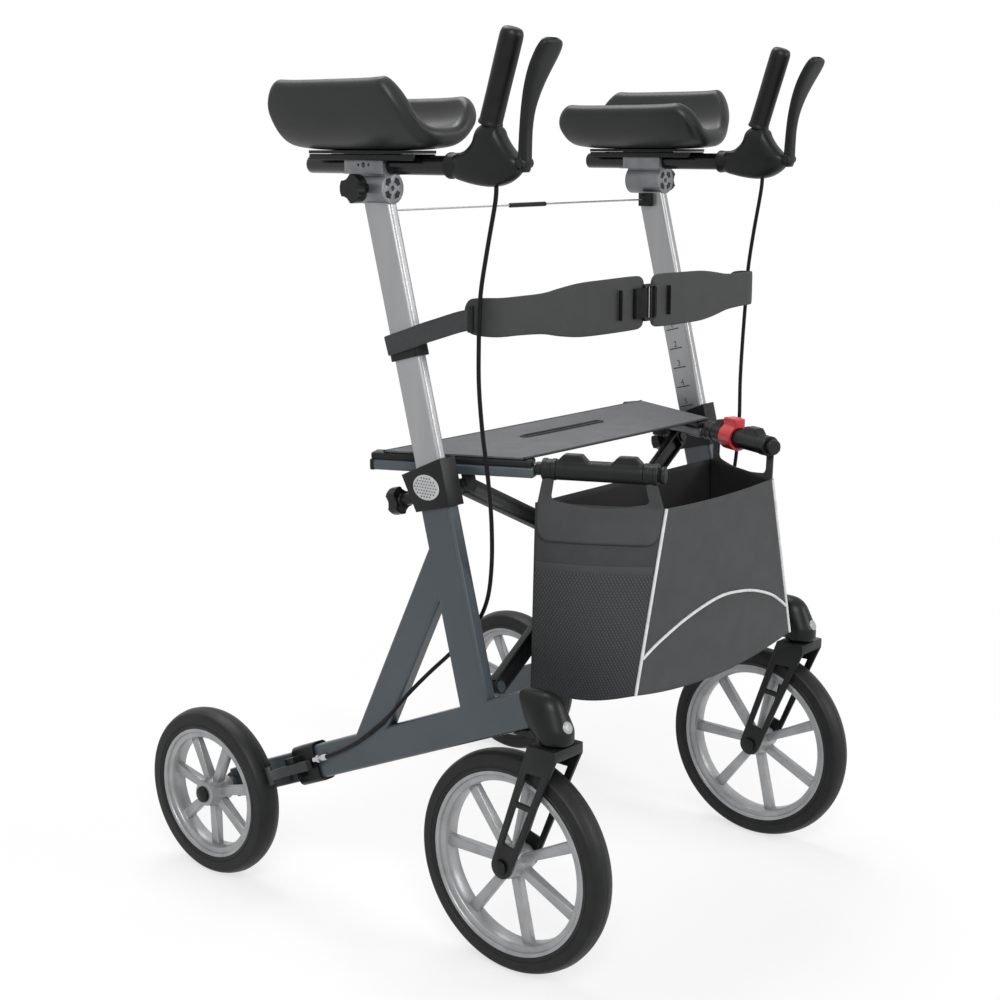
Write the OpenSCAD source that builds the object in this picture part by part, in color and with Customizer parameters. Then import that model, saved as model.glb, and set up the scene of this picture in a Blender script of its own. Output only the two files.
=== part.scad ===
// Upright walker with forearm rests: two leaning side frames on big wheels,
// joined by a folding cross brace that carries the seat rails and the bag.
// Forward is -Y, the walker's left side is +X, the floor is z = 0.

/* [Wheels] */
// Diameter of a front wheel over its tyre
front_wheel_d = 300; // [285:1:306]
// Diameter of a rear wheel over its tyre
rear_wheel_d = 250; // [230:1:256]
// Distance from the front axle to the rear axle
wheelbase = 536; // [528:1:560]
// Distance between the middles of the front tyres
front_track = 596; // [588:1:600]
// Distance between the middles of the rear tyres
rear_track = 691; // [684:1:710]
// Width of every tyre
tyre_w = 37; // [30:1:38]
// Radial depth of a front tyre
front_tyre_depth = 26; // [20:1:32]
// Radial depth of a rear tyre
rear_tyre_depth = 28; // [20:1:32]
// Radial depth of a rim ring
rim_depth = 14; // [12:1:20]
// Width of a rim ring
rim_w = 34; // [24:1:36]
// Diameter of a wheel hub
hub_d = 42; // [36:1:50]
// Width of a wheel hub
hub_w = 44; // [40:1:46]
// Number of spokes in a wheel
spoke_count = 7; // [5:1:9]
// Width of a spoke at the hub
spoke_root_w = 11; // [9:1:14]
// Width of a spoke at the rim
spoke_tip_w = 16; // [12:1:20]
// Thickness of a spoke along the axle
spoke_t = 12; // [10:1:16]
// Diameter of every wheel axle
axle_d = 12; // [8:1:14]

/* [Caster] */
// Distance that a front axle trails its swivel
caster_trail = 67; // [60:1:72]
// Height of the underside of the swivel boss
caster_boss_z = 327; // [326:0.5:332]
// Diameter of the swivel boss
caster_boss_d = 46; // [40:1:50]
// Diameter of the fork's stem
stem_d = 16; // [12:1:20]
// Thickness of a fork blade
blade_t = 5; // [4:0.5:7]
// Width of a fork blade's leg
blade_w = 32; // [26:1:36]
// Length of the fork crown along the walker
crown_len = 44; // [40:1:48]
// Thickness of the fork crown plate
crown_t = 7; // [5:1:9]

/* [Side frame] */
// Distance from the walker's middle to the middle of a side frame
side_x = 301; // [298:1:303]
// Backward lean of the upright, in degrees
lean = 14.4; // [12:0.2:16]
// Rise of the lower tube towards the front, in degrees
rise = 23; // [22:0.2:24]
// Place of the upright along the walker, at the seat's height
upright_y = -115; // [-125:1:-110]
// Thickness of every frame tube across the walker
tube_w = 22; // [20:0.5:24]
// Depth of the upright tube
upright_d = 50; // [46:1:56]
// Depth of the lower tube
lower_d = 48; // [44:1:52]
// Depth of the strut tube
strut_d = 46; // [40:1:48]
// Wall of the frame tubes
tube_wall = 2; // [1.5:0.1:2.5]
// Outer corner radius of the frame tubes
tube_corner = 5; // [4:0.5:6]
// Distance from the rear axle to the back end of the lower tube
lower_start = 182; // [176:1:190]
// Distance from the rear axle to the front end of the lower tube
lower_end = 615; // [605:1:622]
// Distance from the rear axle to the foot of the strut
strut_foot = 300; // [285:1:315]
// Distance down the upright from the seat's height to the strut's head
strut_head = 120; // [100:1:135]

/* [Posts] */
// Wall of a post
post_wall = 1.8; // [1.5:0.1:2.2]
// Length of a post above the seat's height
post_above = 345; // [335:1:350]
// Length of a post below the seat's height
post_below = 220; // [205:1:225]
// Height of the clamping collar along the post
collar_h = 63; // [56:1:66]
// Thickness of the clamping collar across the walker
collar_w = 29; // [28:0.5:32]
// Wall of the collar in front of the upright
collar_front = 5; // [4:0.5:8]
// Wall of the collar behind the upright at its foot
collar_back = 4; // [3:0.5:8]
// Wall of the collar behind the upright at its head
collar_head_back = 17; // [12:1:20]
// Diameter of every clamping knob
knob_d = 37; // [32:1:42]
// Thickness of a clamping knob's head
knob_t = 15; // [12:1:20]

/* [Arm rests] */
// Distance of an arm rest from the walker's middle
arm_x = 302; // [298:1:306]
// Height of the middle of a handlebar
bar_z = 1034; // [1030:1:1038]
// Diameter of a handlebar
bar_d = 24; // [20:1:26]
// Place of the back end of a handlebar along the walker
bar_back = 89; // [82:1:95]
// Length of a handlebar
bar_len = 289; // [284:1:294]
// Length of the bare back end of a handlebar, a step smaller
bar_end_len = 60; // [50:1:66]
// Length of a forearm pad
pad_len = 256; // [246:1:260]
// Width of a forearm pad
pad_w = 152; // [140:1:160]
// Thickness of a forearm pad
pad_t = 25; // [22:0.5:28]
// Height of the outer wing over the pad's middle
pad_outer_rise = 62; // [50:1:70]
// Height of the inner wing over the pad's middle
pad_inner_rise = 40; // [30:1:50]
// Thickness of the plate under a pad
plate_t = 4; // [3:0.5:5]
// Length of the plate under a pad
plate_len = 184; // [176:1:200]
// Width of the plate under a pad
plate_w = 44; // [36:1:52]

/* [Grips and brakes] */
// Forward lean of a hand grip, in degrees
grip_lean = 18; // [14:0.5:20]
// Diameter of a hand grip
grip_d = 29; // [26:0.5:31]
// Length of a hand grip
grip_len = 118; // [105:1:125]
// Diameter of the core inside a hand grip
grip_core_d = 18; // [14:1:20]
// Thickness of a grip housing across the walker
housing_w = 30; // [26:1:34]
// Width of the brake lever's paddle
lever_w = 30; // [22:1:32]
// Thickness of the brake lever
lever_t = 9; // [7:0.5:10]
// Diameter of the brake cable's sheath
cable_d = 5; // [4:0.5:6]
// Length of the clamp round the back end of a lower tube
clamp_len = 46; // [40:1:50]
// Wall of that clamp
clamp_wall = 4; // [3:0.5:5]

/* [Seat and fold] */
// Height of the underside of a seat rail
rail_z = 636; // [634:0.5:640]
// Height of a seat rail
rail_h = 24; // [22:1:26]
// Width of a seat rail
rail_w = 24; // [20:1:26]
// Distance of a rail's back end from the walker's middle
rail_back_x = 289; // [286:1:292]
// Place of a rail's back end along the walker
rail_back_y = -3; // [-8:1:2]
// Turn of the rails towards the middle at the front, in degrees
rail_toe = 23.5; // [22:0.1:24.5]
// Length of the part of a rail that holds the seat
rail_seat_len = 224; // [216:1:230]
// Length of a whole rail with its rod
rail_len = 390; // [386:1:396]
// Diameter of the bag rod at the front of a rail
rod_d = 18; // [14:1:20]
// Diameter of the sleeve on the bag rod
sleeve_d = 27; // [22:1:30]
// Thickness of the seat sheet
seat_t = 3; // [2:0.5:5]
// Length of the slot for a hand in the seat
slot_len = 180; // [140:1:200]
// Width of that slot
slot_w = 12; // [10:1:20]
// Distance of the brace's lower pivots from the middle
brace_foot_x = 271; // [268:0.5:272]
// Height of the brace's lower pivots
brace_foot_z = 365; // [360:1:370]
// Distance of the brace's upper pivots below the rails
brace_drop = 14.5; // [14:0.5:17]
// Width of a brace bar
brace_w = 24; // [20:1:25]
// Depth of a brace bar
brace_d = 12; // [9:0.5:13]
// Wall of a brace bar's channel
brace_wall = 2.5; // [2:0.5:3]
// Diameter of the brace's pins
brace_pin_d = 9; // [6:0.5:10]

/* [Bag and straps] */
// Height of the bag's bottom
bag_bottom_z = 356; // [345:1:370]
// Height of the bag's rim
bag_top_z = 602; // [590:1:606]
// Wall of the bag
bag_wall = 3; // [2:0.5:4]
// Width of the bag's front at the bottom
bag_front_bottom_w = 374; // [340:2:384]
// Width of the bag's front at the top
bag_front_top_w = 246; // [230:2:256]
// Width of the bag's back
bag_back_w = 430; // [400:2:436]
// Place of the bag's front along the walker
bag_front_y = -366; // [-370:1:-358]
// Place of the bag's back along the walker
bag_back_y = -212; // [-225:1:-210]
// Width of the backrest band
band_w = 70; // [55:1:80]
// Width of the backrest band beside its ends
band_bend_w = 56; // [44:1:60]
// Width of the backrest strap's ends
band_end_w = 26; // [20:1:34]
// Thickness of the backrest strap
band_t = 4; // [3:0.5:6]
// Height of the middle of the backrest band
band_z = 851; // [846:1:858]
// Diameter of the tie wire between the posts
wire_d = 2; // [1.5:0.5:3]

/* [Hidden] */
$fn = 48;
hull_fn = 32;

// Clearances shared by every fit, and how far a cut runs past its face
run_gap = 0.08;
fit_gap = 0.1;
slide_gap = 0.4;
seat_gap = 0.3;
overrun = 1;

// Axles
front_r = front_wheel_d / 2;
rear_r = rear_wheel_d / 2;
front_axle_y = -wheelbase / 2 + (front_r - rear_r) / 2;
rear_axle_y = front_axle_y + wheelbase;
front_x = front_track / 2;
rear_x = rear_track / 2;
axle_r = axle_d / 2;
tread_r = 30;
rim_lip = 5;
rim_step = 3;
front_spoke_turn = -13;
rear_spoke_turn = -1.4;
spoke_seat = 3.5;
bolt_head_r = 10;
bolt_head_t = 4;

// Caster
swivel_y = front_axle_y - caster_trail;
blade_gap = 2;
blade_x = hub_w / 2 + blade_gap;
crown_gap = 2;
crown_top_z = caster_boss_z - crown_gap;
crown_front_share = 0.46;
crown_front_y = swivel_y - crown_len * crown_front_share;
crown_back_y = crown_front_y + crown_len;
crown_skirt = 14;
crown_arch = 9;
crown_arch_drop = 20;
blade_window_edge_shares = [0.24, 0.76];
blade_window_shares = [0.02, 0.33, 0.38, 0.78];
bearing_d = 30;
stem_len = 38;
boss_dome_r = 30;
boss_dome_back = 18;
boss_dome_z = 361;
boss_collar = 18;
boss_wall = 3;
guard_len = 58;
guard_end = 90;
guard_t = 10;
guard_w = 26;

// Upright, lower tube and strut
upright_z = 664;
rear_axle_z = rear_r;
upright_foot = (rear_axle_z - upright_z + (rear_axle_y - upright_y) * tan(rise))
    / (cos(lean) + sin(lean) * tan(rise));
upright_top = -14;
bore_floor = 45;
strut_from = [rear_axle_y - strut_foot * cos(rise), rear_axle_z + strut_foot * sin(rise)];
strut_to = [upright_y - strut_head * sin(lean), upright_z - strut_head * cos(lean)];
strut_len = norm(strut_to - strut_from);
strut_turn = atan2(strut_from[0] - strut_to[0], strut_to[1] - strut_from[1]);

// Rear axle arm, clamp and brake
arm_tube_w = tube_w - 2 * tube_wall - 2 * slide_gap;
arm_tube_d = lower_d - 2 * tube_wall - 2 * slide_gap;
arm_tube_wall = 2.5;
arm_tube_in = 70;
arm_boss_d = 34;
axle_collar_d = 22;
axle_collar_gap = 2;
clamp_corner = 9;
clamp_lip = 20;
brake_pivot_d = 8;
brake_pivot_x = 9;
brake_pivot_s = 162;
brake_pivot_h = 32;
brake_eye_d = 16;
brake_arm_t = 14;
brake_tip_gap = 3.2;
brake_tip_w = 12;
brake_tip_x = rear_x - side_x;
brake_shoe_r = 5;
brake_horn = 34;
brake_horn_w = 10;

// Brace: pivots in the plane that leans with the uprights
brace_head_z = rail_z - brace_drop;
function lean_w(z) = (z - upright_z) / cos(lean);
foot_w = lean_w(brace_foot_z);
head_w = lean_w(brace_head_z);
head_y = upright_y + head_w * sin(lean);
head_x = rail_back_x - (rail_back_y - head_y) * tan(rail_toe);
brace_angle = atan2(head_w - foot_w, head_x + brace_foot_x);
brace_len = norm([head_w - foot_w, head_x + brace_foot_x]);
brace_cross = brace_foot_x / cos(brace_angle);
brace_cross_w = foot_w + brace_cross * sin(brace_angle);
lug_t = 7;
lug_r = 9.5;
brace_eye_r = 10;
brace_face = lug_t / 2 + slide_gap;
pin_r = brace_pin_d / 2;
pin_head_r = 7.5;
pin_head_t = 3;
spacer_r = 9;
handle_lug_h = 6;

// Posts, collar and knobs
post_w = tube_w - 2 * tube_wall - 2 * slide_gap;
post_d = upright_d - 2 * tube_wall - 2 * slide_gap;
post_corner = 6;
collar_top = -2;
collar_slope = 12;
saddle_x = 240;
saddle_d = 16;
saddle_t = 14;
saddle_y = -84;
knob_stem_d = 10;
knob_stem_len = 7;
knob_neck_d = 16;
knob_lobes = 3;
knob_cut_share = 0.8;
knob_reach_share = 1.55;
collar_knob_w = -47;
collar_neck = 20;
bracket_neck = 12;

// Post fittings
ring_w = 142;
ring_h = 22;
ring_wall = 4;
ring_corner = 8;

// Arm bracket
bracket_w = 36;
bracket_neck_w = 26;
bracket_back = 12;
bracket_len = 68;
bracket_head_drop = 11;
bracket_nose_d = 40;
bracket_nose_z = 1005;
bracket_nose_len = 62;
bracket_wall = 2;
bracket_slot_r = 13;
bracket_slot_d = 6;
bracket_depth = 4;
bracket_bolt_d = 7;
bracket_pin_d = 4;
bracket_pin_pitch = 9;
bracket_front = bracket_back - bracket_len;
bracket_knob_y = -26;
plate_z = bar_z + bar_d / 2 + bracket_wall;
bar_step = 0.5;
bar_wall = 3;

// Forearm pad
pad_y = -19;
pad_z = plate_z + plate_t + pad_t / 2;
pad_curve = 3.2;
pad_end_curve = 4.8;
pad_sweep = 22;
pad_rings = 18;
pad_sides = 14;
pad_tip_sides = 6;
pad_tip_inset = 32;
pad_end_rise = 6;
plate_slot_len = 46;
plate_slot_w = 7;
plate_screw_t = 1.5;

// Grip housing, grip and lever
grip_foot_y = -218;
grip_foot_z = 1082;
grip_round = 6;
housing_sleeve_len = 46;
housing_sleeve_wall = 4;
housing_front_r = 9;
housing_front_w = 23;
housing_outline = [
    [-178, 1048], [-189, 1060], [-195, 1070], [-201, 1087.5], [-234, 1076.8], [-240, 1067], [-248, 1057],
    [-258, 1050], [-262, 1020], [-252, 1015], [-228, 1012], [-206, 1014], [-190, 1019], [-178, 1022]
];
housing_front_outline = [[-250, 1056], [-272, 1047], [-272, 1029], [-262, 1019], [-250, 1015]];
lever_pivot_y = -272;
lever_pivot_z = 1038;
lever_pin_d = 6;
lever_eye_r = 8;
lever_waist_w = 13;
lever_waist_y = -276;
lever_waist_z = 1100;
lever_tip_y = -309;
lever_tip_z = 1176;
lever_grip_gap = 30;
screw_d = 8;

// Bag rods, latch and loops
sleeve_start = 28;
sleeve_tail = 22;
sleeve_len = rail_len - rail_seat_len - sleeve_start - sleeve_tail;
bump_long_share = 0.33;
bump_short_share = 0.2;
bump_slope_share = 0.33;
bump_inset_share = 0.026;
bump_len = sleeve_len * bump_long_share;
bump_short = sleeve_len * bump_short_share;
bump_slope = bump_short * bump_slope_share;
bump_inset = sleeve_len * bump_inset_share;
bump_h = 8;
bump_w = 16;
rod_cap_d = 22;
rod_cap_t = 6;
latch_start_share = 0.26;
latch_len_share = 0.24;
latch_place = rail_seat_len + sleeve_start + sleeve_len * latch_start_share;
latch_len = sleeve_len * latch_len_share;
latch_wall = 5;
latch_tab = 9;
latch_tab_w = 18;
loop_wall = 3;
loop_len = 16;
loop_start = 10;
loop_tail = 20;
loop_places = [rail_seat_len + loop_start, rail_len - loop_tail];
loop_drop = 6;
ear_t = 3;
bag_level_t = 1;
seat_front_inset = 8;
seat_back_inset = 22;
seat_slot_y = -96;

// Backrest strap
ring_y = upright_y + ring_w * sin(lean);
ring_z = upright_z + ring_w * cos(lean);
tab_x = 299.5;
tab_y = -174;
tab_w = 44;
tab_len = 34;
tab_round = 7;
bend_x = 284;
bend_y = -224;
bow_y = -238;
strap_waist = 110;
strap_rise_share = 0.3;
buckle_w = 30;
buckle_h = 50;
buckle_rim = 4;

// Tie wire
wire_y = -30;
wire_z = 983;
wire_clip = 10;
wire_clip_drop = 7;
wire_sleeve_d = 6;
wire_sleeve_len = 60;

// Cable route on the left side, from the grip housing to the brake arm
cable_route = [
    [302, -228, 1011], [302, -226, 990], [304, -215, 934], [306, -206, 880], [306, -203, 830],
    [304, -201, 770], [299, -202, 710], [293, -206, 650], [286, -206, 590], [279, -200, 530],
    [275, -188, 480], [275, -164, 438], [283, -134, 404], [299, -106, 372], [313, -80, 340],
    [318, -56, 311], [317, -28, 286], [317, 4, 260], [318, 40, 236], [321, 72, 219], [324, 92, 211]
];
cable_steps = 4;
cable_sides = 8;

// Rounded rectangle, w across and d deep, around the origin
module rounded_rect(w, d, r) {
    square([w - 2 * r, d], center = true);
    square([w, d - 2 * r], center = true);
    for (sx = [-1, 1], sy = [-1, 1])
        translate([sx * (w / 2 - r), sy * (d / 2 - r)])
            circle(r);
}

// Slot with round ends, len along X and w wide, around the origin
module slot(len, w) {
    square([len - w, w], center = true);
    for (side = [-1, 1])
        translate([side * (len - w) / 2, 0])
            circle(d = w);
}

// Places a piece that is drawn on the left on its own side
module left() { children(); }
module right() { mirror([1, 0, 0]) children(); }

// Frame of the left upright: Z runs up the post, Y points back
module at_upright(w = 0) {
    translate([side_x, upright_y, upright_z])
        rotate([-lean, 0, 0])
            translate([0, 0, w]) children();
}

// Frame of the brace: the same plane, in the walker's middle
module at_brace() {
    translate([0, upright_y, upright_z])
        rotate([-lean, 0, 0]) children();
}

// Frame of the left lower tube: Z runs forward from the rear axle, Y points up
module at_lower(s = 0) {
    translate([side_x, rear_axle_y, rear_axle_z])
        rotate([90 - rise, 0, 0])
            translate([0, 0, s]) children();
}

// Frame of the left seat rail: -Y runs forward from its back end
module at_rail(along = 0) {
    translate([rail_back_x, rail_back_y, rail_z])
        rotate([0, 0, -rail_toe])
            translate([0, -along, 0]) children();
}

// Extrudes an outline drawn in Y and Z across the walker, from x onwards
module across(x, t) {
    translate([x, 0, 0])
        rotate([90, 0, 90])
            linear_extrude(t) children();
}

// Cylinder along X from x onwards
module x_rod(x, r, len) {
    translate([x, 0, 0])
        rotate([0, 90, 0])
            cylinder(r = r, h = len);
}

// Cylinder along Y from y onwards
module y_rod(y, r, len) {
    translate([0, y + len, 0])
        rotate([90, 0, 0])
            cylinder(r = r, h = len);
}

// Pivot pin of the brace at the origin, standing out of the lug on one face
module brace_pin(face) {
    pin_len = brace_face + brace_d + seat_gap;
    mirror([0, face > 0 ? 0 : 1, 0]) {
        y_rod(-pin_len, pin_r, pin_len);
        y_rod(-pin_len - pin_head_t, pin_head_r, pin_head_t);
    }
}

module side_frame(face) {
    color("#4b555c") {
        difference() {
            union() {
                at_upright(upright_foot)
                    linear_extrude(upright_top - upright_foot)
                        rounded_rect(tube_w, upright_d, tube_corner);
                at_lower(lower_start)
                    linear_extrude(lower_end - lower_start)
                        rounded_rect(tube_w, lower_d, tube_corner);
                strut(tube_w, strut_d, tube_corner, strut_len);
            }
            at_upright(upright_foot + bore_floor)
                linear_extrude(upright_top - upright_foot)
                    bore_section(upright_d);
            at_lower(lower_start - overrun)
                linear_extrude(lower_end - lower_start + 2 * overrun)
                    bore_section(lower_d);
            strut(tube_w - 2 * tube_wall, strut_d - 2 * tube_wall, tube_corner - tube_wall,
                strut_len - upright_d / 2);
        }
        at_brace() translate([brace_foot_x, 0, foot_w]) {
            y_rod(-lug_t / 2, lug_r, lug_t);
            translate([0, -lug_t / 2, -lug_r])
                cube([side_x - brace_foot_x - tube_w / 2 + tube_wall / 2, lug_t, 2 * lug_r]);
            brace_pin(face);
        }
    }
}

module bore_section(d) {
    rounded_rect(tube_w - 2 * tube_wall, d - 2 * tube_wall, tube_corner - tube_wall);
}

module strut(w, d, corner, len) {
    translate([side_x, strut_from[0], strut_from[1]])
        rotate([strut_turn, 0, 0])
            linear_extrude(len)
                rounded_rect(w, d, corner);
}

module caster_housing() {
    color("#262729")
        difference() {
            union() {
                hull() {
                    at_lower(lower_end - clamp_wall)
                        linear_extrude(clamp_wall)
                            rounded_rect(tube_w + 2 * boss_wall, lower_d + 2 * boss_wall,
                                clamp_corner, $fn = hull_fn);
                    translate([front_x, swivel_y + boss_dome_back, boss_dome_z])
                        scale([caster_boss_d / 2 / boss_dome_r, 1, 1])
                            sphere(boss_dome_r, $fn = hull_fn);
                    translate([front_x, swivel_y, caster_boss_z + boss_wall])
                        cylinder(d = caster_boss_d, h = boss_collar - boss_wall, $fn = hull_fn);
                }
                translate([front_x, swivel_y, caster_boss_z])
                    cylinder(d = caster_boss_d, h = boss_collar);
                across(front_x - guard_w / 2, guard_w)
                    polygon([
                        [swivel_y, caster_boss_z + guard_t], [swivel_y, caster_boss_z],
                        [swivel_y + guard_len, caster_boss_z],
                        [swivel_y + guard_end, caster_boss_z + guard_t / 2],
                        [swivel_y + guard_len, caster_boss_z + guard_t],
                    ]);
            }
            at_lower(lower_start)
                linear_extrude(lower_end - lower_start + seat_gap)
                    rounded_rect(tube_w + 2 * fit_gap, lower_d + 2 * fit_gap, tube_corner);
            translate([front_x, swivel_y, caster_boss_z - overrun])
                cylinder(r = stem_d / 2 + run_gap, h = stem_len + overrun + crown_gap);
        }
}

module front_wheel_place() {
    translate([front_x, front_axle_y, front_r]) children();
}

module rear_wheel_place() {
    translate([rear_x, rear_axle_y, rear_r]) children();
}

module fork() {
    hub_z = front_r;
    crown_back = [crown_back_y, crown_top_z];
    crown_front = [crown_front_y, crown_top_z];
    skirt_foot = [crown_front_y, crown_top_z - crown_skirt];
    arch_foot = [crown_front_y + crown_arch, crown_top_z - crown_skirt - crown_arch_drop];
    leg_turn = atan2(front_axle_y - swivel_y, crown_top_z - hub_z);
    hub_side = blade_w / 2 * [cos(leg_turn), sin(leg_turn)];
    hub_front = [front_axle_y, hub_z] - hub_side;
    hub_back = [front_axle_y, hub_z] + hub_side;
    back_share = (crown_skirt + crown_arch_drop) / (crown_top_z - hub_back[1]);
    leg_back = crown_back + (hub_back - crown_back) * back_share;
    function across_leg(down, over) =
        (arch_foot + (hub_front - arch_foot) * down) * (1 - over)
        + (leg_back + (hub_back - leg_back) * down) * over;
    module leg_outline() {
        polygon([crown_back, crown_front, skirt_foot, arch_foot, hub_front, hub_back]);
        translate([front_axle_y, hub_z])
            circle(d = blade_w);
    }
    module window(from, to) {
        polygon([
            across_leg(from, blade_window_edge_shares[0]), across_leg(to, blade_window_edge_shares[0]),
            across_leg(to, blade_window_edge_shares[1]), across_leg(from, blade_window_edge_shares[1]),
        ]);
    }
    module blade(x) {
        across(front_x + x, blade_t)
            difference() {
                leg_outline();
                window(blade_window_shares[0], blade_window_shares[1]);
                window(blade_window_shares[2], blade_window_shares[3]);
                translate([front_axle_y, hub_z])
                    circle(axle_r + fit_gap);
            }
    }
    color("#222325") {
        blade(blade_x);
        blade(-blade_x - blade_t);
        across(front_x - blade_x, 2 * blade_x) {
            translate([crown_front_y, crown_top_z - crown_t])
                square([crown_len, crown_t]);
            translate([crown_front_y, crown_top_z - crown_skirt])
                square([blade_t, crown_skirt]);
        }
        translate([front_x, swivel_y, crown_top_z]) {
            cylinder(d = bearing_d, h = crown_gap - seat_gap);
            cylinder(d = stem_d, h = stem_len);
        }
    }
}

module front_axle() {
    half = blade_x + blade_t;
    color("#1b1c1e")
        front_wheel_place() {
            x_rod(-half, axle_r, 2 * half);
            x_rod(half, bolt_head_r, bolt_head_t);
            x_rod(-half - bolt_head_t, bolt_head_r, bolt_head_t);
        }
}

// Spoked rim on the X axis with a through bore for the axle
module rim(wheel_d, depth, spoke_turn) {
    rim_r = wheel_d / 2 - depth - fit_gap;
    inner_r = rim_r - rim_depth;
    rotate([0, 90, 0])
        difference() {
            union() {
                rotate_extrude() {
                    translate([inner_r, -rim_w / 2])
                        square([rim_depth, rim_w]);
                }
                cylinder(d = hub_d, h = hub_w, center = true);
                for (i = [0 : spoke_count - 1])
                    rotate(360 / spoke_count * i + spoke_turn)
                        spoke(inner_r);
            }
            for (side = [0, 1])
                mirror([0, 0, side])
                    rotate_extrude()
                        translate([inner_r - overrun, rim_w / 2 - rim_step])
                            square([rim_depth - rim_lip + overrun, rim_step + overrun]);
            cylinder(r = axle_r + run_gap, h = hub_w + 2 * overrun, center = true);
        }
}

// One tapered spoke from the hub to the ring
module spoke(inner_r) {
    from = hub_d / 2 - spoke_seat;
    to = inner_r + rim_lip;
    linear_extrude(spoke_t, center = true)
        polygon([
            [from, -spoke_root_w / 2], [to, -spoke_tip_w / 2],
            [to, spoke_tip_w / 2], [from, spoke_root_w / 2],
        ]);
}

// Tyre on the X axis with flat sides and a rounded tread
module tyre(wheel_d, depth) {
    rotate([0, 90, 0])
        rotate_extrude($fn = 96)
            intersection() {
                translate([wheel_d / 2 - depth, -tyre_w / 2])
                    square([depth, tyre_w]);
                translate([wheel_d / 2 - tread_r, 0])
                    circle(tread_r);
            }
}

module front_rim() {
    color("#a8abad") front_wheel_place() rim(front_wheel_d, front_tyre_depth, front_spoke_turn);
}

module front_tyre() {
    color("#2a2a2b") front_wheel_place() tyre(front_wheel_d, front_tyre_depth);
}

module rear_rim() {
    color("#a8abad") rear_wheel_place() rim(rear_wheel_d, rear_tyre_depth, rear_spoke_turn);
}

module rear_tyre() {
    color("#2a2a2b") rear_wheel_place() tyre(rear_wheel_d, rear_tyre_depth);
}

module axle_arm() {
    axle_len = rear_x - side_x + hub_w / 2;
    color("#6d7479") {
        difference() {
            union() {
                at_lower(0)
                    linear_extrude(lower_start + arm_tube_in)
                        rounded_rect(arm_tube_w, arm_tube_d, tube_corner - tube_wall);
                at_lower(0) x_rod(-arm_tube_w / 2, arm_boss_d / 2, arm_tube_w);
            }
            at_lower(arm_boss_d / 2)
                linear_extrude(lower_start + arm_tube_in)
                    rounded_rect(arm_tube_w - 2 * arm_tube_wall, arm_tube_d - 2 * arm_tube_wall,
                        arm_tube_wall / 2);
        }
        at_lower(0) {
            x_rod(0, axle_r, axle_len + axle_collar_gap);
            x_rod(arm_tube_w / 2, axle_collar_d / 2,
                rear_x - side_x - hub_w / 2 - arm_tube_w / 2 - axle_collar_gap);
            x_rod(axle_len + seat_gap, bolt_head_r, bolt_head_t);
        }
    }
}

module brake_clamp() {
    clamp_w = tube_w + 2 * clamp_wall;
    clamp_d = lower_d + 2 * clamp_wall;
    lug = (brake_pivot_h - brake_arm_t) / 2 - seat_gap;
    color("#232426")
        at_lower(lower_start - clamp_len + clamp_lip) {
            difference() {
                linear_extrude(clamp_len)
                    rounded_rect(clamp_w, clamp_d, clamp_corner);
                translate([0, 0, clamp_len - clamp_lip])
                    linear_extrude(clamp_len)
                        rounded_rect(tube_w + 2 * fit_gap, lower_d + 2 * fit_gap, tube_corner);
                translate([0, 0, -overrun])
                    linear_extrude(clamp_len)
                        rounded_rect(arm_tube_w + 2 * fit_gap, arm_tube_d + 2 * fit_gap,
                            tube_corner - tube_wall);
            }
        }
    color("#232426") at_brake() {
        rotate([90, 0, 0])
            cylinder(d = brake_pivot_d, h = brake_pivot_h, center = true);
        for (side = [-1, 1])
            translate([-brake_pivot_x / 2, side * (brake_arm_t / 2 + seat_gap + lug / 2), 0])
                cube([2 * brake_pivot_x, lug, 2 * brake_pivot_x], center = true);
    }
}

// Frame of the brake arm: its pivot stands along the tube's upright direction
module at_brake() {
    at_lower(brake_pivot_s)
        translate([tube_w / 2 + clamp_wall + brake_pivot_x, 0, 0]) children();
}

module brake_arm() {
    tip_s = rear_r + brake_tip_gap + brake_shoe_r - brake_pivot_s;
    tip_x = brake_tip_x - tube_w / 2 - clamp_wall - brake_pivot_x;
    color("#2d2e30") at_brake()
        rotate([90, 0, 0])
            difference() {
                union() {
                    cylinder(d = brake_eye_d, h = brake_arm_t, center = true);
                    linear_extrude(brake_arm_t, center = true)
                        polygon([
                            [-brake_eye_d / 2, 0], [tip_x - brake_shoe_r, tip_s],
                            [tip_x + brake_shoe_r, tip_s], [brake_eye_d / 2, 0],
                            [brake_horn_w / 2, brake_horn], [-brake_horn_w / 2, brake_horn],
                        ]);
                    translate([tip_x, tip_s, 0])
                        cylinder(r = brake_shoe_r, h = brake_arm_t + brake_tip_w, center = true);
                }
                cylinder(d = brake_pivot_d + 2 * run_gap, h = brake_arm_t + 2 * overrun, center = true);
            }
}

module collar() {
    foot = collar_top - collar_h;
    front = -upright_d / 2 - collar_front;
    color("#2b2c2e")
        difference() {
            union() {
                at_upright()
                    across(-collar_w / 2, collar_w)
                        polygon([
                            [front, foot], [upright_d / 2 + collar_back, foot],
                            [upright_d / 2 + collar_head_back, collar_top - collar_slope],
                            [front, collar_top],
                        ]);
                at_collar_knob()
                    y_rod(-collar_head_back, knob_neck_d / 2, collar_head_back - seat_gap);
                saddle();
            }
            at_upright(foot - overrun)
                linear_extrude(upright_top - foot + overrun + seat_gap)
                    rounded_rect(tube_w + 2 * fit_gap, upright_d + 2 * fit_gap, tube_corner);
            at_upright(upright_top)
                linear_extrude(collar_h)
                    rounded_rect(post_w + 2 * slide_gap, post_d + 2 * slide_gap, post_corner);
            at_collar_knob()
                y_rod(-knob_stem_len - fit_gap, knob_stem_d / 2 + run_gap, knob_stem_len + overrun);
        }
}

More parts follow.
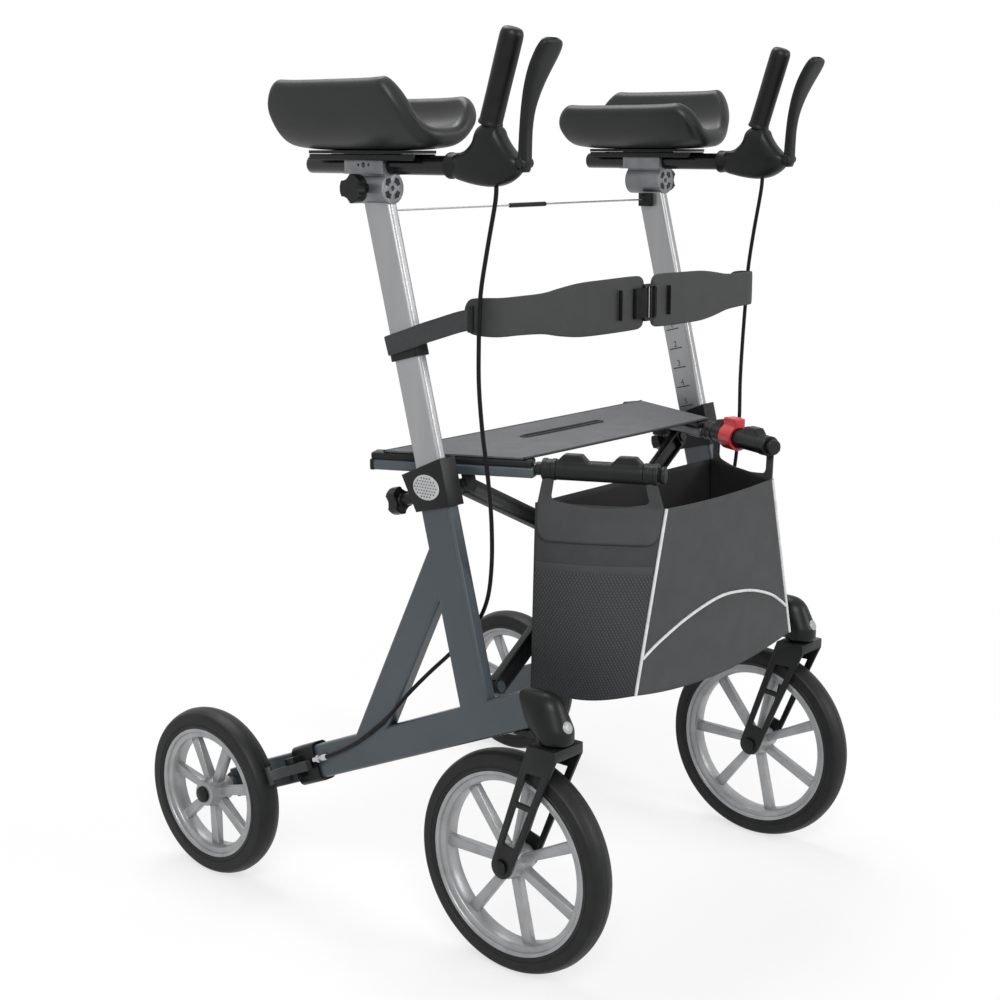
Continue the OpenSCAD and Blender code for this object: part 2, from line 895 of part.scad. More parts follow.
// Ledge on the collar's inner side that the seat rail rests on
module saddle() {
    translate([saddle_x, saddle_y - saddle_d, rail_z - seat_gap - saddle_t])
        cube([side_x - saddle_x - tube_w / 2, saddle_d, saddle_t]);
}

// Axis of the collar's knob, on the collar's back face
module at_collar_knob() {
    at_upright(collar_knob_w)
        translate([0, upright_d / 2 + collar_head_back + seat_gap, 0]) children();
}

// Lobed knob on a neck, with its stem along -Y from the origin
module knob(neck) {
    difference() {
        y_rod(neck, knob_d / 2, knob_t);
        for (i = [0 : knob_lobes - 1])
            rotate([0, 360 / knob_lobes * i, 0])
                translate([knob_d / 2 * knob_reach_share, 0, 0])
                    y_rod(neck - overrun, knob_d / 2 * knob_cut_share, knob_t + 2 * overrun);
    }
    y_rod(0, knob_neck_d / 2, neck + overrun);
    y_rod(-knob_stem_len, knob_stem_d / 2, knob_stem_len + overrun);
}

module collar_knob() {
    color("#1d1e20") at_collar_knob() knob(collar_neck);
}

module height_post() {
    color("#b9bdc0")
        difference() {
            at_upright(-post_below)
                linear_extrude(post_below + post_above)
                    rounded_rect(post_w, post_d, post_corner);
            at_upright(-post_below - overrun)
                linear_extrude(post_below + post_above + 2 * overrun)
                    rounded_rect(post_w - 2 * post_wall, post_d - 2 * post_wall, post_corner - post_wall);
        }
}

module strap_ring() {
    color("#1f2022")
        at_upright(ring_w - ring_h / 2)
            linear_extrude(ring_h)
                difference() {
                    rounded_rect(post_w + 2 * ring_wall, post_d + 2 * ring_wall, ring_corner);
                    rounded_rect(post_w + 2 * fit_gap, post_d + 2 * fit_gap, post_corner);
                }
}

module arm_bracket() {
    head_z = bar_z - bracket_head_drop;
    head_h = bar_d / 2 + bracket_wall + bracket_head_drop;
    color("#8b9094")
        difference() {
            union() {
                translate([arm_x - bracket_w / 2, bracket_front, head_z])
                    cube([bracket_w, bracket_len, head_h]);
                translate([arm_x - bracket_neck_w / 2, bracket_front, bracket_nose_z])
                    cube([bracket_neck_w, bracket_nose_len, head_z - bracket_nose_z + overrun]);
                translate([arm_x, 0, bracket_nose_z])
                    y_rod(bracket_front, bracket_nose_d / 2, bracket_nose_len);
            }
            translate([arm_x, 0, bar_z])
                y_rod(bracket_front - overrun, bar_d / 2 + run_gap, bracket_len + 2 * overrun);
            at_upright(0)
                linear_extrude(post_above + fit_gap)
                    rounded_rect(post_w + 2 * fit_gap, post_d + 2 * fit_gap, post_corner);
            translate([arm_x, 0, bracket_nose_z]) {
                y_rod(bracket_front - overrun, bracket_bolt_d / 2, bracket_depth + overrun);
                for (turn = [45 : 90 : 315])
                    rotate([0, turn, 0])
                        translate([bracket_slot_r, 0, 0])
                            y_rod(bracket_front - overrun, bracket_slot_d / 2, bracket_depth + overrun);
            }
            translate([arm_x + bracket_w / 2 - bracket_depth, bracket_back - bracket_len / 2, bar_z]) {
                x_rod(0, bracket_bolt_d / 2, bracket_depth + overrun);
                for (side = [-1, 1])
                    translate([0, side * bracket_pin_pitch, 0])
                        x_rod(0, bracket_pin_d / 2, bracket_depth + overrun);
            }
            at_bracket_knob()
                y_rod(-knob_stem_len - fit_gap, knob_stem_d / 2 + run_gap, knob_stem_len + overrun);
            at_bracket_knob()
                y_rod(-seat_gap, knob_neck_d / 2 + seat_gap, knob_stem_len);
        }
}

// Axis of the bracket's knob, on the bracket's outer face
module at_bracket_knob() {
    translate([arm_x + bracket_nose_d / 2, bracket_knob_y, bracket_nose_z])
        rotate([0, 0, -90]) children();
}

module bracket_knob() {
    color("#1d1e20") at_bracket_knob() knob(bracket_neck);
}

module handlebar() {
    color("#1f2022")
        translate([arm_x, 0, bar_z])
            difference() {
                union() {
                    y_rod(bar_back - bar_len, bar_d / 2, bar_len - bar_end_len);
                    y_rod(bar_back - bar_end_len, bar_d / 2 - bar_step, bar_end_len);
                }
                y_rod(bar_back - bar_len - overrun, bar_d / 2 - bar_wall, bar_len - bar_wall);
            }
}

module pad_plate() {
    color("#2a2b2d")
        difference() {
            translate([arm_x - plate_w / 2, pad_y - plate_len / 2, plate_z])
                cube([plate_w, plate_len, plate_t]);
            translate([arm_x, pad_y - plate_len / 2 + plate_slot_len, plate_z - overrun])
                linear_extrude(plate_t - plate_screw_t + overrun)
                    rotate(90) slot(plate_slot_len, plate_slot_w);
        }
    color("#c0c3c5")
        translate([arm_x, pad_y - plate_len / 2 + plate_slot_len, plate_z - plate_screw_t])
            cylinder(d = plate_slot_w - 2 * seat_gap, h = plate_t + plate_screw_t / 2);
}

// Middle line of the pad's gutter, at a share of its half width
function wing(q) = (q > 0 ? pad_outer_rise : pad_inner_rise) * pow(abs(q), pad_curve);
function gutter(q) = [q * (pad_w - pad_t) / 2, wing(q)];
function gutter_turn(q, step) = let (d = gutter(q + step) - gutter(q - step)) atan2(d[1], d[0]);
function gutter_side(q, angle, t) = let (a = gutter_turn(q, 1 / pad_w) + angle)
    gutter(q) + t / 2 * [cos(a), sin(a)];
// Section of the pad round that line: along the top, round one tip, back below, round the other
function pad_section(t, reach) = concat(
    [for (i = [0 : pad_sides]) gutter_side(reach * (1 - 2 * i / pad_sides), 90, t)],
    [for (i = [1 : pad_tip_sides - 1]) gutter_side(-reach, 90 + 180 * i / pad_tip_sides, t)],
    [for (i = [0 : pad_sides]) gutter_side(reach * (2 * i / pad_sides - 1), -90, t)],
    [for (i = [1 : pad_tip_sides - 1]) gutter_side(reach, -90 + 180 * i / pad_tip_sides, t)]
);
// Share of a quarter round with radius r left at a distance e from the pad's end
function round_share(e, r) = let (d = max(0, 1 - e / r)) sqrt(1 - d * d);

module forearm_pad() {
    count = 2 * (pad_sides + pad_tip_sides);
    first = 180 / pad_rings / 2;
    points = [for (k = [0 : pad_rings]) let (
            v = -cos(first + (180 - 2 * first) * k / pad_rings),
            e = (1 - abs(v)) * pad_len / 2,
            inset = pad_tip_inset * (1 - round_share(e, pad_tip_inset)),
            lift = pad_end_rise * pow(abs(v), pad_end_curve),
            swept = pad_sweep * pow(max(-v, 0), 2),
            ring = pad_section(pad_t * round_share(e, pad_t / 2), 1 - inset * 2 / pad_w))
        for (p = ring) let (outward = max(p[0] * 2 / pad_w, 0))
            [arm_x + p[0], pad_y + v * pad_len / 2 + swept * outward * outward, pad_z + p[1] + lift]];
    faces = concat(
        [[for (j = [0 : count - 1]) count - 1 - j]],
        [[for (j = [0 : count - 1]) pad_rings * count + j]],
        [for (k = [0 : pad_rings - 1], j = [0 : count - 1]) let (n = (j + 1) % count)
            [k * count + j, k * count + n, (k + 1) * count + n]],
        [for (k = [0 : pad_rings - 1], j = [0 : count - 1]) let (n = (j + 1) % count)
            [k * count + j, (k + 1) * count + n, (k + 1) * count + j]]
    );
    color("#262627") polyhedron(points, faces);
}

// Axis of the hand grip, leaning forward from the top of the housing
module at_grip() {
    translate([arm_x, grip_foot_y, grip_foot_z])
        rotate([grip_lean, 0, 0]) children();
}

module grip_housing() {
    bar_front = bar_back - bar_len;
    sleeve_r = bar_d / 2 + housing_sleeve_wall;
    eye_w = lever_waist_w + 2 * slide_gap;
    color("#202123") {
        difference() {
            union() {
                across(arm_x - housing_w / 2, housing_w)
                    polygon(housing_outline);
                across(arm_x - housing_front_w / 2, housing_front_w) {
                    polygon(housing_front_outline);
                    translate([lever_pivot_y, lever_pivot_z])
                        circle(housing_front_r);
                }
                translate([arm_x, 0, bar_z])
                    y_rod(bar_front, sleeve_r, housing_sleeve_len);
                at_grip() translate([0, 0, -grip_core_d])
                    cylinder(d = grip_core_d, h = grip_len - grip_round + grip_core_d - fit_gap);
                translate([arm_x, bar_front + housing_sleeve_len / 2, bar_z - sleeve_r - overrun])
                    cylinder(d = screw_d, h = housing_sleeve_wall);
            }
            translate([arm_x, 0, bar_z])
                y_rod(bar_front - seat_gap, bar_d / 2 + fit_gap, housing_sleeve_len + overrun);
            translate([arm_x, lever_pivot_y, lever_pivot_z]) {
                x_rod(-eye_w / 2, lever_eye_r + lever_pin_d, eye_w);
                translate([-eye_w / 2, -lever_grip_gap, 0])
                    cube([eye_w, lever_grip_gap + lever_eye_r, lever_grip_gap]);
            }
        }
        translate([arm_x, lever_pivot_y, lever_pivot_z])
            x_rod(-housing_front_w / 2, lever_pin_d / 2, housing_front_w);
    }
}

module hand_grip() {
    color("#1c1c1d") at_grip()
        difference() {
            union() {
                translate([0, 0, seat_gap])
                    cylinder(d = grip_d, h = grip_len - grip_round - seat_gap);
                translate([0, 0, grip_len - grip_round])
                    rotate_extrude() {
                        square([grip_d / 2 - grip_round, grip_round]);
                        translate([grip_d / 2 - grip_round, 0])
                            intersection() {
                                circle(grip_round);
                                square(grip_round);
                            }
                    }
            }
            translate([0, 0, -overrun])
                cylinder(d = grip_core_d + 2 * fit_gap, h = grip_len - grip_round + overrun);
        }
}

module brake_lever() {
    color("#1d1e20")
        difference() {
            union() {
                hull() {
                    lever_bar(lever_pivot_y, lever_pivot_z, lever_waist_w);
                    lever_bar(lever_waist_y, lever_waist_z, lever_waist_w);
                }
                hull() {
                    lever_bar(lever_waist_y, lever_waist_z, lever_waist_w);
                    lever_bar((lever_waist_y + lever_tip_y) / 2, (lever_waist_z + lever_tip_z) / 2, lever_w);
                    lever_bar(lever_tip_y, lever_tip_z, lever_w);
                }
                translate([arm_x, lever_pivot_y, lever_pivot_z])
                    x_rod(-lever_waist_w / 2, lever_eye_r, lever_waist_w);
            }
            translate([arm_x, lever_pivot_y, lever_pivot_z])
                x_rod(-housing_w, lever_pin_d / 2 + run_gap, 2 * housing_w);
        }
}

module lever_bar(y, z, w) {
    translate([arm_x, y, z])
        x_rod(-w / 2, lever_t / 2, w, $fn = hull_fn);
}

// Smooth run of points through a hand-chosen route
function spline(a, b, c, d, t) = (2 * b + (c - a) * t + (2 * a - 5 * b + 4 * c - d) * t * t
    + (3 * b - a - 3 * c + d) * t * t * t) / 2;
function smooth(route, steps) = let (last = len(route) - 1) concat(
    [for (i = [0 : last - 1], k = [0 : steps - 1])
        spline(route[max(i - 1, 0)], route[i], route[i + 1], route[min(i + 2, last)], k / steps)],
    [route[last]]);
function unit(v) = v / norm(v);

module brake_cable() {
    path = smooth(cable_route, cable_steps);
    last = len(path) - 1;
    n = cable_sides;
    points = [for (i = [0 : last]) let (
            along = unit(path[min(i + 1, last)] - path[max(i - 1, 0)]),
            side = unit(cross(along, [1, 0, 0])), up = cross(along, side))
        for (j = [0 : n - 1]) path[i] + cable_d / 2 * (cos(360 * j / n) * side + sin(360 * j / n) * up)];
    faces = concat(
        [[for (j = [0 : n - 1]) j]],
        [[for (j = [0 : n - 1]) last * n + n - 1 - j]],
        [for (i = [0 : last - 1], j = [0 : n - 1]) let (k = (j + 1) % n)
            [i * n + k, i * n + j, (i + 1) * n + k]],
        [for (i = [0 : last - 1], j = [0 : n - 1]) let (k = (j + 1) % n)
            [i * n + j, (i + 1) * n + j, (i + 1) * n + k]]
    );
    color("#161617") polyhedron(points, faces);
}

module seat_rail(face) {
    color("#49535a") {
        at_rail(0)
            translate([-rail_w / 2, -rail_seat_len, 0])
                cube([rail_w, rail_seat_len, rail_h]);
        at_brace() translate([head_x, 0, head_w]) {
            y_rod(-lug_t / 2, lug_r, lug_t);
            translate([-lug_r, -lug_t / 2, 0])
                cube([2 * lug_r, lug_t, (rail_z - brace_head_z) / cos(lean) + handle_lug_h]);
            brace_pin(face);
        }
        at_rod() {
            y_rod(rail_seat_len - rail_len, rod_d / 2, rail_len - rail_seat_len + overrun);
            y_rod(rail_seat_len - rail_len - rod_cap_t, rod_cap_d / 2, rod_cap_t);
        }
    }
    color("#2c2d2f") at_rod() {
        y_rod(-sleeve_start - sleeve_len, sleeve_d / 2, sleeve_len);
        sleeve_bump(sleeve_start + bump_inset, face > 0 ? bump_short : bump_len);
        sleeve_bump(sleeve_start + sleeve_len - bump_inset - bump_len, bump_len);
    }
}

// Raised stop on a sleeve with sloping ends
module sleeve_bump(place, len) {
    across(-bump_w / 2, bump_w)
        polygon([
            [-place, 0], [-place - len, 0], [-place - len, sleeve_d / 2],
            [bump_slope - place - len, sleeve_d / 2 + bump_h], [-place - bump_slope, sleeve_d / 2 + bump_h],
            [-place, sleeve_d / 2],
        ]);
}

// Axis of the bag rod, from the front end of the seat's part of the rail
module at_rod() {
    at_rail(rail_seat_len) translate([0, 0, rail_h / 2]) children();
}

// Channel bar of the brace in the brace's frame; the front one is drawn, the other mirrored
module cross_bar(face) {
    spans = [[lug_r, brace_cross - lug_r], [brace_cross + lug_r, brace_len - lug_r]];
    groove = [brace_d - brace_wall + overrun, brace_w - 2 * brace_wall];
    at_brace()
        mirror([0, face > 0 ? 0 : 1, 0])
            mirror([face > 0 ? 0 : 1, 0, 0])
                translate([-brace_foot_x, -brace_face - brace_d, foot_w])
                    rotate([0, -brace_angle, 0])
                        difference() {
                            union() {
                                translate([0, 0, -brace_w / 2])
                                    cube([brace_len, brace_d, brace_w]);
                                for (along = [0, brace_len])
                                    translate([along, 0, 0]) y_rod(0, brace_eye_r, brace_d);
                            }
                            for (span = spans)
                                translate([span[0], -overrun, -groove[1] / 2])
                                    cube([span[1] - span[0], groove[0], groove[1]]);
                            for (along = [0, brace_cross, brace_len])
                                translate([along, 0, 0])
                                    y_rod(-overrun, pin_r + run_gap, brace_d + 2 * overrun);
                        }
}

module front_cross_bar() { color("#5a5e61") cross_bar(1); }
module rear_cross_bar() { color("#5a5e61") cross_bar(-1); }

module cross_pin() {
    half = brace_face + brace_d + seat_gap;
    color("#2f3032") at_brace() translate([0, 0, brace_cross_w]) {
        y_rod(-half, pin_r, 2 * half);
        y_rod(seat_gap - brace_face, spacer_r, 2 * brace_face - 2 * seat_gap);
        for (side = [0, 1])
            mirror([0, side, 0]) y_rod(half, pin_head_r, pin_head_t);
    }
}

module fold_latch() {
    inner_r = sleeve_d / 2 + seat_gap;
    outer_r = inner_r + latch_wall;
    color("#b3232b")
        at_rail(latch_place) translate([0, 0, rail_h / 2])
            difference() {
                union() {
                    y_rod(-latch_len, outer_r, latch_len);
                    translate([-latch_tab_w / 2, -latch_len, 0])
                        cube([latch_tab_w, latch_len, outer_r + latch_tab]);
                }
                y_rod(-latch_len - overrun, inner_r, latch_len + 2 * overrun);
            }
}

module seat_sheet() {
    function edge_x(y) = rail_back_x - (rail_back_y - y) * tan(rail_toe) + rail_w / 2 / cos(rail_toe);
    back_y = rail_back_y - seat_back_inset;
    front_y = rail_back_y - rail_seat_len * cos(rail_toe) + seat_front_inset;
    color("#55585a")
        translate([0, 0, rail_z + rail_h + seat_gap])
            linear_extrude(seat_t)
                difference() {
                    polygon([
                        [-edge_x(back_y), back_y], [-edge_x(front_y), front_y],
                        [edge_x(front_y), front_y], [edge_x(back_y), back_y],
                    ]);
                    translate([0, seat_slot_y])
                        slot(slot_len, slot_w);
                }
}

// Body of the bag, drawn in by an inset on every side
module bag_body(inset, bottom, top) {
    module level(z, front_w, back_w)
        translate([0, 0, z])
            linear_extrude(bag_level_t)
                polygon([
                    [-front_w / 2 + inset, bag_front_y + inset], [front_w / 2 - inset, bag_front_y + inset],
                    [back_w / 2 - inset, bag_back_y - inset], [-back_w / 2 + inset, bag_back_y - inset],
                ]);
    hull() {
        level(bottom, bag_front_bottom_w, bag_back_w);
        level(top, bag_front_top_w, bag_back_w);
    }
}

module bag() {
    color("#47494b") {
        difference() {
            bag_body(0, bag_bottom_z, bag_top_z);
            bag_body(bag_wall, bag_bottom_z + bag_wall, bag_top_z + overrun);
        }
        left() bag_loops();
        right() bag_loops();
    }
}

// Loops over one rod with the ear that hangs the bag's side from them
module bag_loops() {
    inner_r = rod_d / 2 + seat_gap;
    outer_r = inner_r + loop_wall;
    for (place = loop_places)
        at_rail(place) {
            translate([0, 0, rail_h / 2])
                difference() {
                    y_rod(-loop_len, outer_r, loop_len);
                    y_rod(-loop_len - overrun, inner_r, loop_len + 2 * overrun);
                }
            translate([-ear_t / 2, -loop_len, bag_top_z - rail_z - loop_drop])
                cube([ear_t, loop_len, rail_z + rail_h / 2 - inner_r - bag_top_z + loop_drop]);
        }
    at_rail(loop_places[1]) translate([-ear_t / 2, -loop_len, bag_top_z - rail_z - loop_drop])
        cube([ear_t, loop_places[1] - loop_places[0] + loop_len, loop_drop + ear_t]);
}

// Path of one half of the backrest strap from its post to the front, with its width there
strap_end_x = side_x + post_w / 2 + ring_wall + band_t / 2 + seat_gap;
strap_half = [
    [strap_end_x, ring_y + post_d / 2, ring_z, band_end_w],
    [strap_end_x, ring_y - post_d / 2, ring_z + strap_rise_share * (band_z - ring_z), band_end_w],
    [tab_x, tab_y, band_z, band_end_w],
    [tab_x, tab_y - tab_round, band_z, tab_w],
    [tab_x - band_t / 2, tab_y - tab_len, band_z, tab_w],
    [bend_x, bend_y, band_z, band_bend_w],
    [bend_x - strap_waist, bend_y - band_t, band_z, band_bend_w],
    [bend_x - 2 * strap_waist, bend_y - 3 * band_t, band_z, band_w],
];

module backrest_strap() {
    half = concat(strap_half, [[0, bow_y, band_z, band_w]]);
    last = len(half) - 1;
    path = concat(
        [for (p = half) p],
        [for (i = [last - 1 : -1 : 0]) [-half[i][0], half[i][1], half[i][2], half[i][3]]]);
    end = len(path) - 1;
    points = [for (i = [0 : end]) let (
            a = path[max(i - 1, 0)], b = path[min(i + 1, end)],
            d = unit([b[0] - a[0], b[1] - a[1], 0]), out = [d[1], -d[0], 0] * band_t / 2, p = path[i])
        for (c = [[1, 1], [1, -1], [-1, -1], [-1, 1]])
            [p[0], p[1], p[2]] + c[0] * out + [0, 0, c[1] * p[3] / 2]];
    faces = concat(
        [[3, 2, 1, 0]], [[for (j = [0 : 3]) end * 4 + j]],
        [for (i = [0 : end - 1], j = [0 : 3]) let (k = (j + 1) % 4)
            [i * 4 + j, i * 4 + k, (i + 1) * 4 + k]],
        [for (i = [0 : end - 1], j = [0 : 3]) let (k = (j + 1) % 4)
            [i * 4 + j, (i + 1) * 4 + k, (i + 1) * 4 + j]]
    );
    color("#2b2c2e") polyhedron(points, faces);
}

module strap_buckle() {
    color("#1a1b1c")
        translate([0, bow_y - band_t / 2 - seat_gap, band_z])
            rotate([90, 0, 0])
                linear_extrude(buckle_rim)
                    difference() {
                        rounded_rect(buckle_w, buckle_h, buckle_rim);
                        rounded_rect(buckle_w - 2 * buckle_rim, buckle_h - 2 * buckle_rim, buckle_rim / 2);
                    }
}

module tie_wire() {
    reach = side_x - post_w / 2 - seat_gap;
    color("#7d8184") translate([0, wire_y, wire_z]) {
        x_rod(-reach, wire_d / 2, 2 * reach);
        x_rod(-wire_sleeve_len / 2, wire_sleeve_d / 2, wire_sleeve_len);
        for (side = [-1, 1])
            translate([side * (reach - wire_clip / 2), 0, -wire_clip_drop])
                cube([wire_clip, 2 * wire_clip, 2 * wire_clip], center = true);
    }
}

left() side_frame(-1);  // left_side_frame
right() side_frame(1);  // right_side_frame
left() caster_housing();  // left_caster_housing
right() caster_housing();  // right_caster_housing
left() fork();  // left_fork
right() fork();  // right_fork
left() front_axle();  // left_front_axle
right() front_axle();  // right_front_axle
left() front_rim();  // left_front_rim
right() front_rim();  // right_front_rim
left() front_tyre();  // left_front_tyre
right() front_tyre();  // right_front_tyre
left() axle_arm();  // left_axle_arm
right() axle_arm();  // right_axle_arm
left() rear_rim();  // left_rear_rim
right() rear_rim();  // right_rear_rim
left() rear_tyre();  // left_rear_tyre
right() rear_tyre();  // right_rear_tyre
left() brake_clamp();  // left_brake_clamp
right() brake_clamp();  // right_brake_clamp
left() brake_arm();  // left_brake_arm
right() brake_arm();  // right_brake_arm
left() collar();  // left_collar
right() collar();  // right_collar
left() collar_knob();  // left_collar_knob
right() collar_knob();  // right_collar_knob
left() height_post();  // left_height_post
right() height_post();  // right_height_post
left() strap_ring();  // left_strap_ring
right() strap_ring();  // right_strap_ring
left() arm_bracket();  // left_arm_bracket
right() arm_bracket();  // right_arm_bracket
left() bracket_knob();  // left_bracket_knob
right() bracket_knob();  // right_bracket_knob
left() handlebar();  // left_handlebar
right() handlebar();  // right_handlebar
left() pad_plate();  // left_pad_plate
right() pad_plate();  // right_pad_plate
left() forearm_pad();  // left_forearm_pad
right() forearm_pad();  // right_forearm_pad
left() grip_housing();  // left_grip_housing
right() grip_housing();  // right_grip_housing
left() hand_grip();  // left_hand_grip
right() hand_grip();  // right_hand_grip
left() brake_lever();  // left_brake_lever
right() brake_lever();  // right_brake_lever
left() brake_cable();  // left_brake_cable
right() brake_cable();  // right_brake_cable
left() seat_rail(1);  // left_seat_rail
right() seat_rail(-1);  // right_seat_rail
front_cross_bar();
rear_cross_bar();
cross_pin();
fold_latch();
seat_sheet();
bag();
backrest_strap();
strap_buckle();
tie_wire();
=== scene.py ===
from math import cos, pi, radians, sin, sqrt

import bpy
from mathutils import Matrix, Vector


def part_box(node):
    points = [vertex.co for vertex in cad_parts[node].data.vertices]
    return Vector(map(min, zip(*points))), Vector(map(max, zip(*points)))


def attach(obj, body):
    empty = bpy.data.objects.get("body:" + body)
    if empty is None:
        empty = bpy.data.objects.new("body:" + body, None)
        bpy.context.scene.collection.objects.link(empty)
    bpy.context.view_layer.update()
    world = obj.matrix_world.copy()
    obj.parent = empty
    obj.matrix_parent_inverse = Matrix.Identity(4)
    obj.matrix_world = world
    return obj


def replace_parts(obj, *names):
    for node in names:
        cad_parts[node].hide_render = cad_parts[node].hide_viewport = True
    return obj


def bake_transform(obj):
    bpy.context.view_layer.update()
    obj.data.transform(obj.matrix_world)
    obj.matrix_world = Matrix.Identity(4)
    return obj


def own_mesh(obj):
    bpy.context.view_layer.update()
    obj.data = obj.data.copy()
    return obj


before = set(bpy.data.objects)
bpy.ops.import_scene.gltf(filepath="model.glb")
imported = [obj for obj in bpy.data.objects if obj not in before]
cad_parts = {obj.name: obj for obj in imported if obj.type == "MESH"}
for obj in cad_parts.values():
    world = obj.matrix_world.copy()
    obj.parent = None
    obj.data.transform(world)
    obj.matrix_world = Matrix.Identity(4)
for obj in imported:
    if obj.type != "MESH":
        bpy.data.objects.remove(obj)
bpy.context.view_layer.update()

# Studio: a pale floor under a white surround, a broad key lamp high behind the camera, a weaker
# one at the walker's front left and a soft one overhead. The camera stands where the photograph's
# did, at the walker's right front, with a short telephoto lens.
CAMERA_PLACE = (-1.8877, -1.5713, 1.0621)
CAMERA_PITCH = 11.88
CAMERA_TURN = -49.85
LENS_MM = 61.22
VIEW_END = 60
# Each lamp's place, size and power.
LAMPS = (
    ((-2.8, -2.6, 3.2), 1.7, 118),
    ((1.6, -3.4, 2.0), 1.5, 52),
    ((0.4, 1.2, 3.8), 2.0, 84),
)
LAMP_TARGET = (0, 0, 0.6)
SURROUND_LIGHT = 0.4
FLOOR_SIZE = 40
FLOOR_DROP = 0.0004
# The floor shows its shadows near the walker and fades to the white surround further off.
SHADOW_FADE = (0.5, 1.6)
SHADOW_WHITE = 0.7


def linear(code):
    """Linear colour of an sRGB hex code."""
    parts = [int(code[i:i + 2], 16) / 255 for i in (1, 3, 5)]
    return tuple(c / 12.92 if c < 0.04045 else ((c + 0.055) / 1.055) ** 2.4 for c in parts) + (1,)


def add(tree, kind, inputs=None, **settings):
    """Adds a shader node with its settings, and sets or links its inputs."""
    made = tree.nodes.new("ShaderNode" + kind)
    for name, value in settings.items():
        setattr(made, name, value)
    for name, value in (inputs or {}).items():
        if isinstance(value, bpy.types.NodeSocket):
            tree.links.new(value, made.inputs[name])
        else:
            made.inputs[name].default_value = value
    return made


def seen_directly(tree):
    """1 for what the camera sees itself, in a mirror or through glass, and 0 for light."""
    path = add(tree, "LightPath").outputs
    seen = add(tree, "Math", {0: path["Is Camera Ray"], 1: path["Is Glossy Ray"]},
               operation="MAXIMUM")
    return add(tree, "Math", {0: seen.outputs[0], 1: path["Is Transmission Ray"]},
               operation="MAXIMUM").outputs[0]


def begun(name, **sockets):
    """A new material, its node tree and its shader, with the shader's plain sockets set."""
    made = bpy.data.materials.new(name)
    made.use_nodes = True
    shader = made.node_tree.nodes["Principled BSDF"]
    for socket, value in sockets.items():
        socket = socket.replace("_", " ").title().replace("Ior", "IOR")
        shader.inputs[socket].default_value = value
    return made, made.node_tree, shader


def primitive(name, adder, **settings):
    """Adds a primitive as the start of a piece, with nothing else selected."""
    bpy.ops.object.select_all(action="DESELECT")
    adder(**settings)
    bpy.context.object.name = name
    return bpy.context.object


bpy.ops.object.camera_add(
    location=CAMERA_PLACE, rotation=(radians(90 - CAMERA_PITCH), 0, radians(CAMERA_TURN)))
camera = bpy.context.object
camera.data.lens = LENS_MM
camera.data.clip_end = VIEW_END
bpy.context.scene.camera = camera
bpy.context.scene.view_settings.view_transform = "Standard"

for place, size, power in LAMPS:
    bpy.ops.object.light_add(type="AREA", location=place)
    lamp = bpy.context.object
    lamp.data.size = size
    lamp.data.energy = power
    lamp.rotation_euler = (Vector(LAMP_TARGET) - lamp.location).to_track_quat("-Z", "Y").to_euler()

world = bpy.data.worlds.new("white_surround")
world.use_nodes = True
bpy.context.scene.world = world
surround = world.node_tree.nodes["Background"]
surround.inputs["Color"].default_value = (1, 1, 1, 1)
strength = add(world.node_tree, "MapRange",
               {"Value": seen_directly(world.node_tree), "To Min": SURROUND_LIGHT, "To Max": 1.0})
world.node_tree.links.new(strength.outputs["Result"], surround.inputs["Strength"])

floor = primitive("studio_floor", bpy.ops.mesh.primitive_plane_add, size=FLOOR_SIZE,
                  location=(0, 0, -FLOOR_DROP))
floor_paint, tree, paint = begun("matt_white_floor_paint", base_color=linear("#eeeeee"),
                                 roughness=0.9, specular_ior_level=0.1)
glow = add(tree, "Emission", {"Strength": 1.0})
reach = add(tree, "VectorMath", {0: add(tree, "TexCoord").outputs["Object"]}, operation="LENGTH")
fade = add(tree, "MapRange", {"Value": reach.outputs["Value"], "From Min": SHADOW_FADE[0],
                              "From Max": SHADOW_FADE[1], "To Min": SHADOW_WHITE, "To Max": 1.0},
           interpolation_type="SMOOTHSTEP")
share = add(tree, "Math", {0: seen_directly(tree), 1: fade.outputs["Result"]}, operation="MULTIPLY")
mixed = add(tree, "MixShader", {0: share.outputs[0], 1: paint.outputs[0], 2: glow.outputs[0]})
tree.links.new(mixed.outputs[0], tree.nodes["Material Output"].inputs["Surface"])
floor.data.materials.append(floor_paint)

# Side frames: flat-sided aluminium tube, cut, welded at the strut and powder coated in a satin
# blue grey. The inner tube of the rear axle slides in the lower tube's open end.
MM = 0.001


def toned(tree, shader, factor, stops, shades, height, depth_mm, strength):
    """Colours a shader between two shades by a factor, and gives it relief from a height."""
    tint = add(tree, "ValToRGB", {"Fac": factor})
    for stop, at, code in zip(tint.color_ramp.elements, stops, shades):
        stop.position = at
        stop.color = linear(code)
    relief = add(tree, "Bump", {"Height": height, "Distance": depth_mm * MM, "Strength": strength})
    tree.links.new(tint.outputs[0], shader.inputs["Base Color"])
    tree.links.new(relief.outputs[0], shader.inputs["Normal"])


